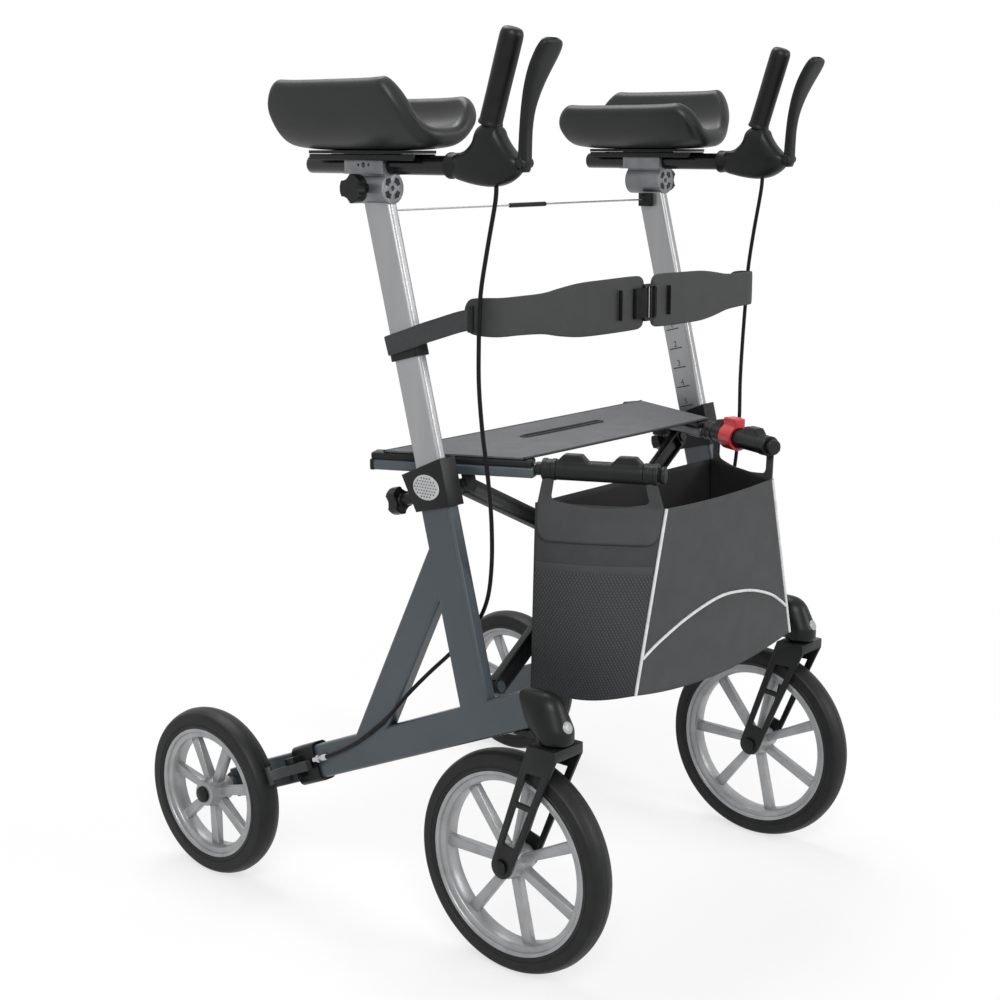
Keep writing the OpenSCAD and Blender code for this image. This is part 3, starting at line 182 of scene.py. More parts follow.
def grained(name, shades, drift_mm, grain_mm, depth_mm, rough, spread, stretch=(1, 1, 1),
            grain="TexNoise", shine=0.5, **sockets):
    """A finish whose colour drifts between two shades, with a grain in its relief and gloss."""
    made, tree, shader = begun(name, specular_ior_level=shine, **sockets)
    place = add(tree, "Mapping", {"Vector": add(tree, "TexCoord").outputs["Object"],
                                  "Scale": stretch}).outputs[0]
    drift = add(tree, "TexNoise", {"Vector": place, "Scale": 1 / (drift_mm * MM), "Detail": 3.0})
    texture = add(tree, grain, {"Vector": place, "Scale": 1 / (grain_mm * MM)}).outputs[0]
    gloss = add(tree, "MapRange", {"Value": texture, "From Min": 0.25, "From Max": 0.75,
                                   "To Min": rough - spread, "To Max": rough + spread})
    tree.links.new(gloss.outputs[0], shader.inputs["Roughness"])
    toned(tree, shader, drift.outputs[0], (0.3, 0.7), shades, texture, depth_mm, 0.5)
    return made


def dress(node, finish):
    """Gives a solid that keeps its own shape its finish."""
    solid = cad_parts[node]
    if not solid.material_slots:
        solid.data.materials.append(finish)
    for held in solid.material_slots:
        held.material = finish


# Powder coat: the melted powder leaves a faint orange peel, drawn at 2.5 mm to show here.
powder_coat = grained("satin_powder_coat", ("#2c353b", "#343e45"), 140, 2.5, 0.05, 0.34, 0.05,
                      coat_weight=0.15, coat_roughness=0.25)
# Steel tube in the same colour, a shade rougher where it slides.
inner_tube_coat = grained("powder_coated_inner_tube", ("#373f44", "#434b50"), 60, 2.0, 0.04,
                          0.4, 0.06)
for hand in ("left", "right"):
    dress(f"{hand}_side_frame", powder_coat)
    dress(f"{hand}_axle_arm", inner_tube_coat)

# Caster elbows: glass-filled nylon mouldings pressed on the front ends of the lower tubes, with
# the swivel bearing inside. A round grey reflector is set in the front of each.
REFLECTOR_PLACE = (300, -345.5, 353)
REFLECTOR_R = 8
REFLECTOR_SUNK = 1.6
MERGED = (bpy.ops.mesh.remove_doubles, {"threshold": 0.01 * MM})
OUTWARDS = (bpy.ops.mesh.normals_make_consistent, {"inside": False})


def only(piece):
    """Makes a piece the one selected object."""
    bpy.ops.object.select_all(action="DESELECT")
    piece.select_set(True)
    bpy.context.view_layer.objects.active = piece


def apply(piece, kind, **settings):
    """Adds a modifier with its settings and applies it."""
    only(piece)
    modifier = piece.modifiers.new(kind.lower(), kind)
    for name, value in settings.items():
        setattr(modifier, name, value)
    bpy.ops.object.modifier_apply(modifier=modifier.name)


def edited(piece, *steps):
    """Runs operators of edit mode, each with its settings, on the whole mesh of a piece."""
    only(piece)
    bpy.ops.object.mode_set(mode="EDIT")
    for operator, settings in steps:
        bpy.ops.mesh.select_all(action="SELECT")
        operator(**settings)
    bpy.ops.object.mode_set(mode="OBJECT")


def copy_of(node, name):
    """A merged copy of a solid, to be reworked into the piece that stands for it."""
    piece = bpy.data.objects.new(name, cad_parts[node].data.copy())
    piece.data.materials.clear()
    bpy.context.collection.objects.link(piece)
    only(piece)
    if piece.data.has_custom_normals:
        bpy.ops.mesh.customdata_custom_splitnormals_clear()
    edited(piece, MERGED, (bpy.ops.mesh.dissolve_limited, {"angle_limit": radians(1)}))
    return piece


def smooth(piece, angle=40):
    """Shades a piece smooth up to an angle between its faces."""
    only(piece)
    bpy.ops.object.shade_smooth_by_angle(angle=radians(angle))
    return piece


def melted(piece, voxel_mm, rounds):
    """Melts a copied solid into one soft moulded form."""
    apply(piece, "REMESH", mode="VOXEL", voxel_size=voxel_mm * MM)
    apply(piece, "SMOOTH", factor=0.5, iterations=rounds)
    return smooth(piece, 60)


def fused(node, name, voxel_mm, rounds):
    """A copy of a solid as one soft moulded form."""
    return melted(copy_of(node, name), voxel_mm, rounds)


def turned(name, profile, place, axis=(1, 0, 0), steps=64):
    """Spins a closed outline of (radius, along) points in mm round an axis through a place."""
    piece = primitive(name, bpy.ops.mesh.primitive_circle_add, vertices=len(profile),
                      fill_type="NOTHING")
    along = Vector(axis).normalized()
    out = along.orthogonal().normalized()
    for vertex, (radius, height) in zip(piece.data.vertices, profile):
        vertex.co = (out * radius + along * height) * MM
    spun = {"steps": steps, "angle": 2 * pi, "center": (0, 0, 0), "axis": along}
    edited(piece, (bpy.ops.mesh.spin, spun), MERGED, OUTWARDS)
    piece.data.transform(Matrix.Translation(Vector(place) * MM))
    return smooth(piece, 35)


def fit(piece, finish, body, *nodes, slot="black_plastic"):
    """Gives a piece its finish and fits it to the body it moves with, in place of any nodes."""
    if finish:
        piece.data.materials.clear()
        piece.data.materials.append(finish)
    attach(piece, body)
    if nodes:
        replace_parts(piece, *nodes)
    return piece


def flip(piece):
    """Turns a piece from the left-hand side over to the right."""
    piece.data.transform(Matrix.Diagonal((-1, 1, 1, 1)))
    piece.data.flip_normals()


def mirrored(piece):
    """The right-hand twin of a piece made on the left."""
    twin = bpy.data.objects.new(piece.name.replace("left", "right"), piece.data.copy())
    bpy.context.collection.objects.link(twin)
    flip(twin)
    return twin


def fit_pair(piece, finish, body, *nodes, slot="black_plastic"):
    """Fits a piece made on the left and its mirror image on the two sides of the walker."""
    twin = mirrored(piece)
    for side, made in (("left", piece), ("right", twin)):
        fit(made, finish, f"{side}_{body}", *(f"{side}_{node}" for node in nodes), slot=slot)
    return piece, twin


# Spark-eroded tool steel leaves a fine matt grain on the plastic, drawn at 1.8 mm to show here.
black_nylon = grained("spark_eroded_black_nylon", ("#101112", "#181919"), 45, 1.8, 0.08, 0.36, 0.06,
                      shine=0.2)
# Moulded acrylic over prisms: a pale grey face with a fine honeycomb.
reflector_grey = grained("prismatic_grey_acrylic", ("#8a8c8d", "#9a9c9d"), 20, 2.2, 0.25, 0.3, 0.06,
                         grain="TexVoronoi")
elbow = fused("left_caster_housing", "left_caster_elbow", 1.8, 16)
fit_pair(elbow, black_nylon, "frame", "caster_housing")
seat_at, facing = elbow.closest_point_on_mesh(Vector(REFLECTOR_PLACE) * MM)[1:3]
domed = [(0, 0), (0, 3.4), (REFLECTOR_R - 3, 3.1), (REFLECTOR_R - 0.8, 2.4), (REFLECTOR_R, 1.4),
         (REFLECTOR_R, 0)]
fit_pair(turned("left_front_reflector", domed, seat_at / MM - facing * REFLECTOR_SUNK, facing),
         reflector_grey, "frame", slot="rim_plastic")

# Forks: pressed and welded steel with two windows in each blade, black coated, on a stem that
# turns in the elbow. The axle is a bolt with a wide head on both sides.
EDGE_ANGLE = radians(32)
black_coat = grained("black_powder_coat", ("#121314", "#1a1b1c"), 70, 2.2, 0.05, 0.36, 0.06,
                     shine=0.22)


def eased(piece, edge_mm, steps=3):
    """Rounds the edges of a copied solid, as bending, casting or moulding leaves them."""
    apply(piece, "BEVEL", width=edge_mm * MM, segments=steps, limit_method="ANGLE",
          angle_limit=EDGE_ANGLE)
    return smooth(piece)


def rounded(node, name, edge_mm, steps=3):
    """A copy of a solid with its edges rounded."""
    return eased(copy_of(node, name), edge_mm, steps)


def remade(node, name, edge_mm, finish, body, slot="black_plastic", steps=3):
    """Fits a rounded copy of a left-hand solid, and its mirror image, in place of the two."""
    fit_pair(rounded(f"left_{node}", f"left_{name}", edge_mm, steps), finish, body, node, slot=slot)


remade("fork", "swivel_fork", 2.0, black_coat, "caster")
remade("front_axle", "axle_bolt", 1.2, black_coat, "caster")

# Wheels: seven-spoke rims moulded in silver-grey nylon, with puncture-proof foam tyres that snap
# over the rim. The tyres have flat sides, a rounded tread and a fine mould line round the middle.
TYRE_W = 37
TREAD_R = 30
TREAD_STEPS = 12
RIM_W = 34
RIM_DEPTH = 14
RIM_LIP = 5
HUB_R = 21
HUB_W = 44
SPOKES = 7
# Thickness and width of a spoke.
SPOKE_ROOT = (15.6, 11)
SPOKE_TIP = (10.32, 16)
HUB_COVER = [(0, 0), (0, 6), (9, 5.6), (11.2, 4.4), (12, 2.6), (12, 0)]
HUB_COVER_GAP = 0.6
# Each pair's end, tyre radius, tyre depth and the turn of its first spoke.
WHEELS = (("front", 150, 26, -13), ("rear", 125, 28, -1.4))


def both_sides(half):
    """A closed outline from its half on one side of the middle."""
    return half + [(radius, -along) for radius, along in reversed(half)]


def tyre_profile(outer_r, depth):
    """Outline of a tyre: bead, flat side with a bead groove, shoulder, round tread."""
    half = TYRE_W / 2
    inner_r = outer_r - depth
    core = outer_r - TREAD_R
    shoulder = sqrt(TREAD_R ** 2 - half ** 2) + core
    side = [(inner_r, half - 2), (inner_r + 2, half - 0.3), (inner_r + 5, half),
            (inner_r + 5.6, half - 0.7), (inner_r + 6.8, half - 0.7), (inner_r + 7.4, half),
            (shoulder - 2.4, half), (shoulder - 0.8, half - 0.35)]
    tread = []
    for step in range(TREAD_STEPS - 1):
        across = (half - 1.4) * (1 - step / TREAD_STEPS)
        tread.append((sqrt(TREAD_R ** 2 - across ** 2) + core, across))
    return both_sides(side + tread + [(outer_r - 0.1, 0.6), (outer_r + 0.25, 0.25)])


def joined(piece, parts):
    """Joins parts into one piece."""
    only(piece)
    for part in parts:
        part.select_set(True)
    bpy.ops.object.join()


def rim_piece(name, outer_r, turn, place):
    """A rim with its stepped ring, its hub and its tapered spokes in one moulding."""
    half = RIM_W / 2
    inner_r = outer_r - RIM_DEPTH
    edge = [(outer_r, half), (outer_r - RIM_LIP + 0.8, half), (outer_r - RIM_LIP, half - 0.8),
            (outer_r - RIM_LIP - 0.6, half - 3.4), (inner_r + 1.4, half - 4),
            (inner_r + 0.3, half - 5.4), (inner_r - 0.8, 2)]
    ring = turned(name, both_sides(edge), (0, 0, 0), steps=96)
    cap = [(6.2, HUB_W / 2), (HUB_R - 5, HUB_W / 2), (HUB_R - 3, HUB_W / 2 - 0.8),
           (HUB_R - 2.4, HUB_W / 2 - 3), (HUB_R, HUB_W / 2 - 12)]
    parts = [turned(name + "_hub", both_sides(cap), (0, 0, 0), steps=48)]
    for i in range(SPOKES):
        spoke = primitive(name + "_spoke", bpy.ops.mesh.primitive_cube_add, size=1)
        for vertex in spoke.data.vertices:
            tip = vertex.co.z < 0
            thick, wide = SPOKE_TIP if tip else SPOKE_ROOT
            vertex.co = Vector((vertex.co.x * thick, vertex.co.y * wide,
                                -(inner_r + 2 if tip else HUB_R - 4))) * MM
        spoke.data.transform(Matrix.Rotation(radians(turn + 360 / SPOKES * i), 4, "X"))
        apply(spoke, "BEVEL", width=2 * MM, segments=3)
        parts.append(smooth(spoke, 50))
    joined(ring, parts)
    ring.data.transform(Matrix.Translation(Vector(place) * MM))
    return ring


# Silver-grey nylon with a metallic pigment: flecks a little brighter than the ground.
rim_nylon = grained("silver_grey_moulded_nylon", ("#8b8c8e", "#9fa0a2"), 30, 1.6, 0.05, 0.34, 0.06,
                    metallic=0.4)
# Matt polyurethane foam: dull black with a faint bloom of dust.
tyre_foam = grained("skinned_foam_tyre", ("#111112", "#191a1a"), 35, 2.4, 0.15, 0.48, 0.08,
                    shine=0.24)
for end, radius, depth, turn in WHEELS:
    low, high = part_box(f"left_{end}_rim")
    hub = (low + high) / 2 / MM
    fit_pair(turned(f"left_{end}_wheel_tyre", tyre_profile(radius, depth), hub, steps=128),
             tyre_foam, f"{end}_wheel", f"{end}_tyre", slot="tyre_foam")
    fit_pair(rim_piece(f"left_{end}_wheel_rim", radius - depth - 0.1, turn, hub),
             rim_nylon, f"{end}_wheel", f"{end}_rim", slot="rim_plastic")
    if end == "rear":
        face = hub + Vector((HUB_W / 2 + HUB_COVER_GAP, 0, 0))
        fit_pair(turned("left_hub_cover", HUB_COVER, face), black_nylon, "rear_wheel")

# Rear brakes: a nylon sleeve clamps the tubes together and carries a wedge that the cable pulls
# against the tyre. The cable ends in a bright turned ferrule with an adjuster nut.
FERRULE_FOOT = (320.2, 68, 220.6)
FERRULE_AXIS = (0.13, 0.92, -0.37)
FERRULE_OUTLINE = [(2.6, 0), (4, 0.4), (4.4, 1.2), (4.4, 9), (3.4, 9.6), (3.4, 12), (5.6, 12.4),
                   (5.6, 17), (3.6, 17.6), (3.4, 25), (0, 25), (0, 0)]
remade("brake_clamp", "tube_clamp", 1.8, black_nylon, "frame")
brake_nylon = grained("moulded_grey_black_nylon", ("#242526", "#2e2f30"), 30, 1.8, 0.08, 0.46, 0.07,
                      shine=0.36)
remade("brake_arm", "brake_wedge", 1.2, brake_nylon, "brake")
# Zinc plate over turned steel: bright, with fine tool marks round it.
zinc_steel = grained("zinc_plated_turned_steel", ("#a5a8aa", "#c2c5c7"), 8, 1.2, 0.03, 0.28, 0.06,
                     metallic=1.0)
fit_pair(turned("left_cable_ferrule", FERRULE_OUTLINE, FERRULE_FOOT, FERRULE_AXIS, 24), zinc_steel,
         "frame", slot="steel")

# Collars: two-part nylon clamps on the heads of the uprights, drawn tight round the posts by a
# three-lobed knob at the back. An oval reflector with punched dots is set in the outer face.
OVAL_PLACE = Vector((315.5, -120.9, 628.8))
OVAL_W = 45
OVAL_H = 33
OVAL_RIM = 3
DOT_R = 1.15
DOT_PITCH = 4.6
DOT_ROW = 0.866
DOT_PROUD = 1.3


def dotted_oval(name):
    """Six-sided dots in staggered rows over the oval reflector's face."""
    verts, faces = [], []
    rows = int(OVAL_H / DOT_PITCH)
    for row in range(-rows, rows + 1):
        z = row * DOT_PITCH * DOT_ROW
        for step in range(-rows * 2, rows * 2 + 1):
            y = (step + row % 2 / 2) * DOT_PITCH
            if (y / (OVAL_W / 2 - OVAL_RIM)) ** 2 + (z / (OVAL_H / 2 - OVAL_RIM)) ** 2 > 1:
                continue
            faces.append(tuple(range(len(verts), len(verts) + 6)))
            for corner in range(6):
                turn = pi / 3 * corner
                verts.append((OVAL_PLACE + Vector((DOT_PROUD, y + DOT_R * cos(turn),
                                                   z + DOT_R * sin(turn)))) * MM)
    mesh = bpy.data.meshes.new(name)
    mesh.from_pydata(verts, [], faces)
    piece = bpy.data.objects.new(name, mesh)
    bpy.context.collection.objects.link(piece)
    return piece


remade("collar", "post_collar", 2.6, black_nylon, "frame", steps=4)
oval = turned("left_oval_reflector", [(0, -1), (0, 1.2), (13, 1.1), (15.6, 0.8), (OVAL_H / 2, 0.2),
                                      (OVAL_H / 2, -1)], (0, 0, 0))
oval.data.transform(Matrix.Translation(OVAL_PLACE * MM)
                    @ Matrix.Diagonal((1, OVAL_W / OVAL_H, 1, 1)))
reflector_pale = grained("pale_grey_acrylic", ("#a9abac", "#b6b8b9"), 12, 1.5, 0.05, 0.34, 0.05)
fit_pair(oval, reflector_pale, "frame", slot="rim_plastic")
fit_pair(dotted_oval("left_reflector_dots"), brake_nylon, "frame")
# Glossy black phenolic of the knobs, worn a little dull on the lobes.
knob_black = grained("moulded_black_phenolic", ("#0d0e0f", "#151616"), 14, 1.5, 0.05, 0.32, 0.06,
                     shine=0.24)
fit_pair(fused("left_collar_knob", "left_height_knob", 1.0, 5), knob_black, "height_knob",
         "collar_knob")

# Height posts: anodised aluminium extrusions that telescope in the uprights, with numbered marks
# every 30 mm printed on the inner face. A plastic ring on each holds the backrest strap.
LEAN = radians(14.4)
POST_FOOT = (301, -115, 664)
POST_W = 17.2
SCALE_MARKS = 5
SCALE_PITCH = 30
SCALE_TOP = 120
SCALE_Y = 4.2
TICK_LEN = 23
TICK_H = 1.8
DIGIT_H = 13
DIGIT_RISE = 2.5
PRINT_T = 0.15
# Satin anodising over extruded aluminium: fine draw lines run along the post.
anodised = grained("satin_anodised_aluminium", ("#8a8c8d", "#9d9fa0"), 60, 1.6, 0.04, 0.36, 0.06,
                   stretch=(1, 1, 0.04), metallic=0.75)
ink = grained("grey_black_screen_ink", ("#2c2d2e", "#3a3b3c"), 6, 1.0, 0.02, 0.6, 0.08)
up = Vector((0, sin(LEAN), cos(LEAN)))
back = Vector((0, cos(LEAN), -sin(LEAN)))
for side, hand in ((1, "left"), (-1, "right")):
    dress(f"{hand}_height_post", anodised)
    inward = Vector((-side, 0, 0))
    turn = Matrix((up.cross(inward), up, inward)).transposed().to_4x4()
    foot = Vector((side * POST_FOOT[0], *POST_FOOT[1:])) + inward * (POST_W / 2 + PRINT_T)
    marks = []
    for number in range(1, SCALE_MARKS + 1):
        face = (foot + back * SCALE_Y + up * (SCALE_TOP - SCALE_PITCH * (number - 1))) * MM
        tick = primitive(f"{hand}_height_scale", bpy.ops.mesh.primitive_plane_add, size=1)
        tick.data.transform(Matrix.Translation(face) @ turn
                            @ Matrix.Diagonal((TICK_LEN * MM, TICK_H * MM, 1, 1)))
        digit = primitive(f"{hand}_height_digit", bpy.ops.object.text_add)
        digit.data.body = str(number)
        digit.data.size = DIGIT_H * MM
        digit.data.align_x = "CENTER"
        only(digit)
        bpy.ops.object.convert(target="MESH")
        digit.data.transform(Matrix.Translation(face + up * DIGIT_RISE * MM) @ turn)
        marks += [tick, digit]
    joined(marks[0], marks)
    fit(marks[0], ink, f"{hand}_post")
remade("strap_ring", "post_ring", 1.0, black_nylon, "post")

# Arm brackets: die-cast aluminium heads on the posts that hold the handlebar, with a ring of
# slots in the nose and a clamping knob at the outer side. Bead blasted and left bare.
ARM_X = 302
NOSE = (ARM_X, -56.3, 1005)
NOSE_SLOTS = (20, 110, 200, 290)
NOSE_SLOT_ARC = 52
NOSE_SLOT_R = (8, 14.5)
LIP_T = 6
LIP_H = 7
SEAM_MM = 0.02


def formed(name, place, across, along, cut=None, angle=50):
    """A fine grid laid out by a rule of two shares in mm, its meeting edges merged. The cut is
    the flat size in mm that the weave follows."""
    piece = primitive(name, bpy.ops.mesh.primitive_grid_add, x_subdivisions=across,
                      y_subdivisions=along, size=1)
    if cut:
        for held in piece.data.uv_layers.active.data:
            held.uv = (held.uv[0] * cut[0] * MM, held.uv[1] * cut[1] * MM)
    for vertex in piece.data.vertices:
        vertex.co = Vector(place(vertex.co.x + 0.5, vertex.co.y + 0.5)) * MM
    edited(piece, (bpy.ops.mesh.remove_doubles, {"threshold": SEAM_MM * MM}), OUTWARDS)
    return smooth(piece, angle)


def block(name, low, high, edge_mm, steps, place):
    """A box between two corners with rounded edges, put in place point by point."""
    piece = primitive(name, bpy.ops.mesh.primitive_cube_add, size=1)
    for vertex in piece.data.vertices:
        vertex.co = Vector([low[i] if vertex.co[i] < 0 else high[i] for i in range(3)]) * MM
    apply(piece, "BEVEL", width=edge_mm * MM, segments=steps)
    for vertex in piece.data.vertices:
        vertex.co = Vector(place(*(vertex.co / MM))) * MM
    edited(piece, OUTWARDS)
    return smooth(piece, 45)


def nose_place(start, u, v):
    """Point of a slot that starts at an angle round the nose: u round it, v outwards."""
    radius = NOSE_SLOT_R[0] + (NOSE_SLOT_R[1] - NOSE_SLOT_R[0]) * v
    turn = radians(start + NOSE_SLOT_ARC * u)
    return (NOSE[0] + radius * cos(turn), NOSE[1], NOSE[2] + radius * sin(turn))


# Bead blasting: an even pale grey with a fine peened grain.
cast_alloy = grained("bead_blasted_die_cast", ("#686b6d", "#7b7e80"), 25, 1.6, 0.1, 0.42, 0.07,
                     metallic=0.55)
remade("arm_bracket", "bracket_casting", 1.4, cast_alloy, "post", slot="bracket_cast")
for number, start in enumerate(NOSE_SLOTS, 1):
    fit_pair(formed(f"left_nose_slot_{number}", lambda u, v: nose_place(start, u, v), 12, 4),
             knob_black, "post")
fit_pair(fused("left_bracket_knob", "left_reach_knob", 1.0, 5), knob_black, "reach_knob",
         "bracket_knob")
# Gloss black coating on drawn tube.
bar_coat = grained("gloss_black_coated_tube", ("#0a0b0c", "#121313"), 50, 1.8, 0.02, 0.24, 0.04,
                   shine=0.3)
remade("handlebar", "arm_bar", 2.0, bar_coat, "arm", slot="bar_coat")
remade("pad_plate", "pad_carrier", 1.2, black_nylon, "post")
# The carrier is a channel: its long edges are turned down beside the bar.
low, high = (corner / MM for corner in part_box("left_pad_plate"))
for number, edge in enumerate((low.x, high.x - LIP_T), 1):
    lip = block(f"left_carrier_lip_{number}", (edge, low.y, low.z - LIP_H),
                (edge + LIP_T, high.y, low.z + 1), 1.6, 3, lambda *spot: spot)
    fit_pair(lip, black_nylon, "post")

# Forearm pads: soft polyurethane foam cast with its own skin, one gutter each with a high outer
# and a lower inner wing, screwed to the plate below. The skin is satin and smooth to the touch.
PAD_Y = -19
PAD_Z = 1064.5
PAD_LEN = 256
PAD_W = 152
PAD_T = 25
PAD_RISES = (62, 40)
PAD_CURVE = 3.2
PAD_TIP_INSETS = (32, 34)
PAD_SWEEP = 22
PAD_END_RISE = 6
PAD_END_CURVE = 4.8
PAD_DISH = 1.6


def pad_place(u, v):
    """Point of a pad's skin: u runs round its section, v along it."""
    def gutter(q):
        rise = PAD_RISES[0] if q > 0 else PAD_RISES[1]
        return Vector((q * (PAD_W - PAD_T) / 2, rise * abs(q) ** PAD_CURVE))

    def round_share(e, r):
        return sqrt(1 - max(0, 1 - e / r) ** 2)

    t = -cos(pi * v)
    e = (1 - abs(t)) * PAD_LEN / 2
    inset = PAD_TIP_INSETS[t > 0]
    reach = 1 - inset * (1 - round_share(e, inset)) * 2 / PAD_W
    half = PAD_T / 2 * round_share(e, PAD_T / 2)
    dish = 0
    if u < 0.4:
        q, turn = reach * (1 - 5 * u), 90
        dish = PAD_DISH * max(0, 1 - (q / 0.9) ** 2) ** 2 * (1 - t ** 6)
    elif u < 0.5:
        q, turn = -reach, 90 + 1800 * (u - 0.4)
    elif u < 0.9:
        q, turn = reach * (5 * (u - 0.5) - 1), -90
    else:
        q, turn = reach, -90 + 1800 * (u - 0.9)
    slope = (gutter(q + 1 / PAD_W) - gutter(q - 1 / PAD_W)).normalized()
    c, s = cos(radians(turn)), sin(radians(turn))
    out = Vector((slope.x * c - slope.y * s, slope.y * c + slope.x * s))
    spot = gutter(q) + out * max(half - dish, 0)
    sweep = PAD_SWEEP * max(q, 0) ** 2 * max(-t, 0) ** 2
    return (ARM_X + spot.x, PAD_Y + t * PAD_LEN / 2 + sweep,
            PAD_Z + spot.y + PAD_END_RISE * abs(t) ** PAD_END_CURVE)


# Skinned foam: satin black, with a fine pebble from the mould and a slight sheen where arms rest.
pad_skin = grained("cast_foam_skin", ("#161718", "#1d1e1f"), 70, 1.7, 0.1, 0.42, 0.07, shine=0.32)
for pad in fit_pair(formed("left_arm_pad", pad_place, 160, 120, angle=80), pad_skin, "post",
                    "forearm_pad", slot="pad_skin"):
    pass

# Hand grips and brakes: a two-part nylon housing is clamped on the front of each handlebar. It
# carries a smooth rubber grip that leans forward and a lever with a wide thumb paddle.
GRIP_FOOT = (ARM_X, -218, 1082)
GRIP_LEAN = radians(18)
GRIP_OUTLINE = [(0, 0.4), (14.6, 0.4), (15.3, 1.2), (15.4, 3.4), (14.8, 4.6), (14.3, 7), (14.2, 45),
                (14.5, 80), (14.5, 107), (14.1, 111), (13, 114.4), (11, 116.8), (8, 117.8),
                (0, 118)]
SOCKET_PLACE = (ARM_X, -154, 1034)
SOCKET_OUTLINE = [(12.2, 0), (15.4, 0), (16.2, 1), (16.2, 4), (15.6, 5), (15.6, 46), (12.2, 46)]
LEVER_PIVOT = (ARM_X, -272, 1038)
# The lever from its foot to its tip: y, z, width and thickness.
LEVER_STATIONS = (
    (-272, 1027, 12, 3), (-272, 1029, 15, 9), (-272, 1038, 16, 14), (-272.6, 1056, 16, 13.4),
    (-274, 1080, 16.6, 12.6), (-277.4, 1102, 20, 12.6), (-284, 1124, 28, 12.8),
    (-293, 1144, 36, 13), (-303, 1161, 40, 13), (-310, 1172, 38, 12.2),
    (-313.6, 1177.6, 30, 9.6), (-315, 1179.6, 13, 3),
)
HOUSING_HALF = 17
HOUSING_HEART = Vector((-218, 1040))
HOUSING_OUTLINE = (
    (-203, 1079), (-196, 1064), (-184, 1053), (-168, 1048), (-158, 1041), (-157, 1028),
    (-166, 1019), (-184, 1014), (-205, 1010.5), (-225, 1009.5), (-243, 1013), (-258, 1021),
    (-267, 1031), (-267, 1041), (-257, 1050), (-247, 1060), (-239, 1071), (-234, 1080),
    (-219, 1086),
)


def spline(stations, share):
    """Smooth value at a share of the way through a row of stations."""
    last = len(stations) - 1
    at = min(share, 0.999999) * last
    i = int(at)
    t = at - i
    a, b, c, d = (Vector(stations[min(max(i + k, 0), last)]) for k in (-1, 0, 1, 2))
    return (2 * b + (c - a) * t + (2 * a - 5 * b + 4 * c - d) * t * t
            + (3 * b - a - 3 * c + d) * t ** 3) / 2


def swept(name, stations, wide, around, along, power=2.0, angle=80, cut=None):
    """A bar or band through stations of (x, y, z, width, thickness), its width along wide."""
    def place(u, v):
        spot = spline(stations, v)
        lead = spline(stations, min(v + 0.004, 1)) - spline(stations, max(v - 0.004, 0))
        lead = Vector(lead[:3])
        thin = lead.cross(Vector(wide)).normalized()
        broad = thin.cross(lead).normalized()
        c, s = cos(2 * pi * u), sin(2 * pi * u)
        across = abs(c) ** (2 / power) * (1 if c > 0 else -1) * spot[3] / 2
        through = abs(s) ** (2 / power) * (1 if s > 0 else -1) * spot[4] / 2
        return Vector(spot[:3]) + broad * across + thin * through
    return formed(name, place, around, along, cut, angle)


def housing_place(u, v):
    """Point of a grip housing: u round its outline, v from its outer to its inner face."""
    count = len(HOUSING_OUTLINE)
    rim = spline(HOUSING_OUTLINE + HOUSING_OUTLINE[:3], (1 + u * count) / (count + 2))
    out = max(sin(pi * v), 0) ** 0.5
    side = abs(cos(pi * v)) ** 0.7 * (1 if v < 0.5 else -1)
    return (ARM_X + side * HOUSING_HALF, *HOUSING_HEART.lerp(rim, out))


fit_pair(formed("left_grip_shell", housing_place, 120, 60, angle=80), black_nylon, "arm",
         "grip_housing")
fit_pair(turned("left_bar_socket", SOCKET_OUTLINE, SOCKET_PLACE, (0, -1, 0)), black_nylon, "arm")
fit_pair(turned("left_lever_pivot", both_sides([(0, 10.5), (5.2, 10.5), (6, 9.7)]), LEVER_PIVOT,
                steps=32), black_coat, "arm")
# Smooth rubber: dull black with the slight bloom of handling.
grip_rubber = grained("moulded_grip_rubber", ("#0b0b0c", "#121213"), 26, 1.6, 0.08, 0.4, 0.07,
                      shine=0.22)
fit_pair(turned("left_rubber_grip", GRIP_OUTLINE, GRIP_FOOT, (0, -sin(GRIP_LEAN), cos(GRIP_LEAN)),
                72), grip_rubber, "arm", "hand_grip", slot="grip_rubber")
fit_pair(swept("left_thumb_lever", [(ARM_X, *station) for station in LEVER_STATIONS], (1, 0, 0),
               40, 110, power=3.2, angle=50), black_nylon, "lever", "brake_lever")

# Brake cables: steel wire in a black sheath, from the grip housing down the inside of the frame to
# the rear brake. The upper run bends with the arm and the post, the lower one with the post.
CABLE_D = 5.6
CABLE_ROUTE = (
    (302, -228, 1011), (302, -226, 990), (304, -215, 934), (306, -206, 880), (306, -203, 830),
    (304, -201, 770), (299, -202, 710), (293, -206, 650), (286, -206, 590), (279, -200, 530),
    (275, -188, 480), (275, -164, 438), (283, -134, 404), (299, -106, 372), (313, -80, 340),
    (318, -56, 311), (317, -28, 286), (317, 4, 260), (318, 40, 236), (321, 72, 219), (324, 92, 211),
)
CABLE_SPLIT = 4
# Extruded sheath: smooth and slightly glossy, with drawn lines along it.
sheath = grained("extruded_cable_sheath", ("#070708", "#0d0d0e"), 40, 1.4, 0.03, 0.34, 0.06,
                 shine=0.16)
routed = [(*point, CABLE_D, CABLE_D) for point in CABLE_ROUTE]
upper = swept("left_upper_cable", routed[:CABLE_SPLIT + 1], (1, 0, 0), 14, 80)
lower = swept("left_lower_cable", routed[CABLE_SPLIT:], (1, 0, 0), 14, 200)
for part, ends, high, low in ((upper, ("arm", "post"), 1.0, 0.86),
                              (lower, ("post", "frame"), 0.82, 0.55)):
    part.data.materials.append(sheath)
    for side, made in (("left", part), ("right", mirrored(part))):
        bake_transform(made)
        if part is lower:
            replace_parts(made, f"{side}_brake_cable")

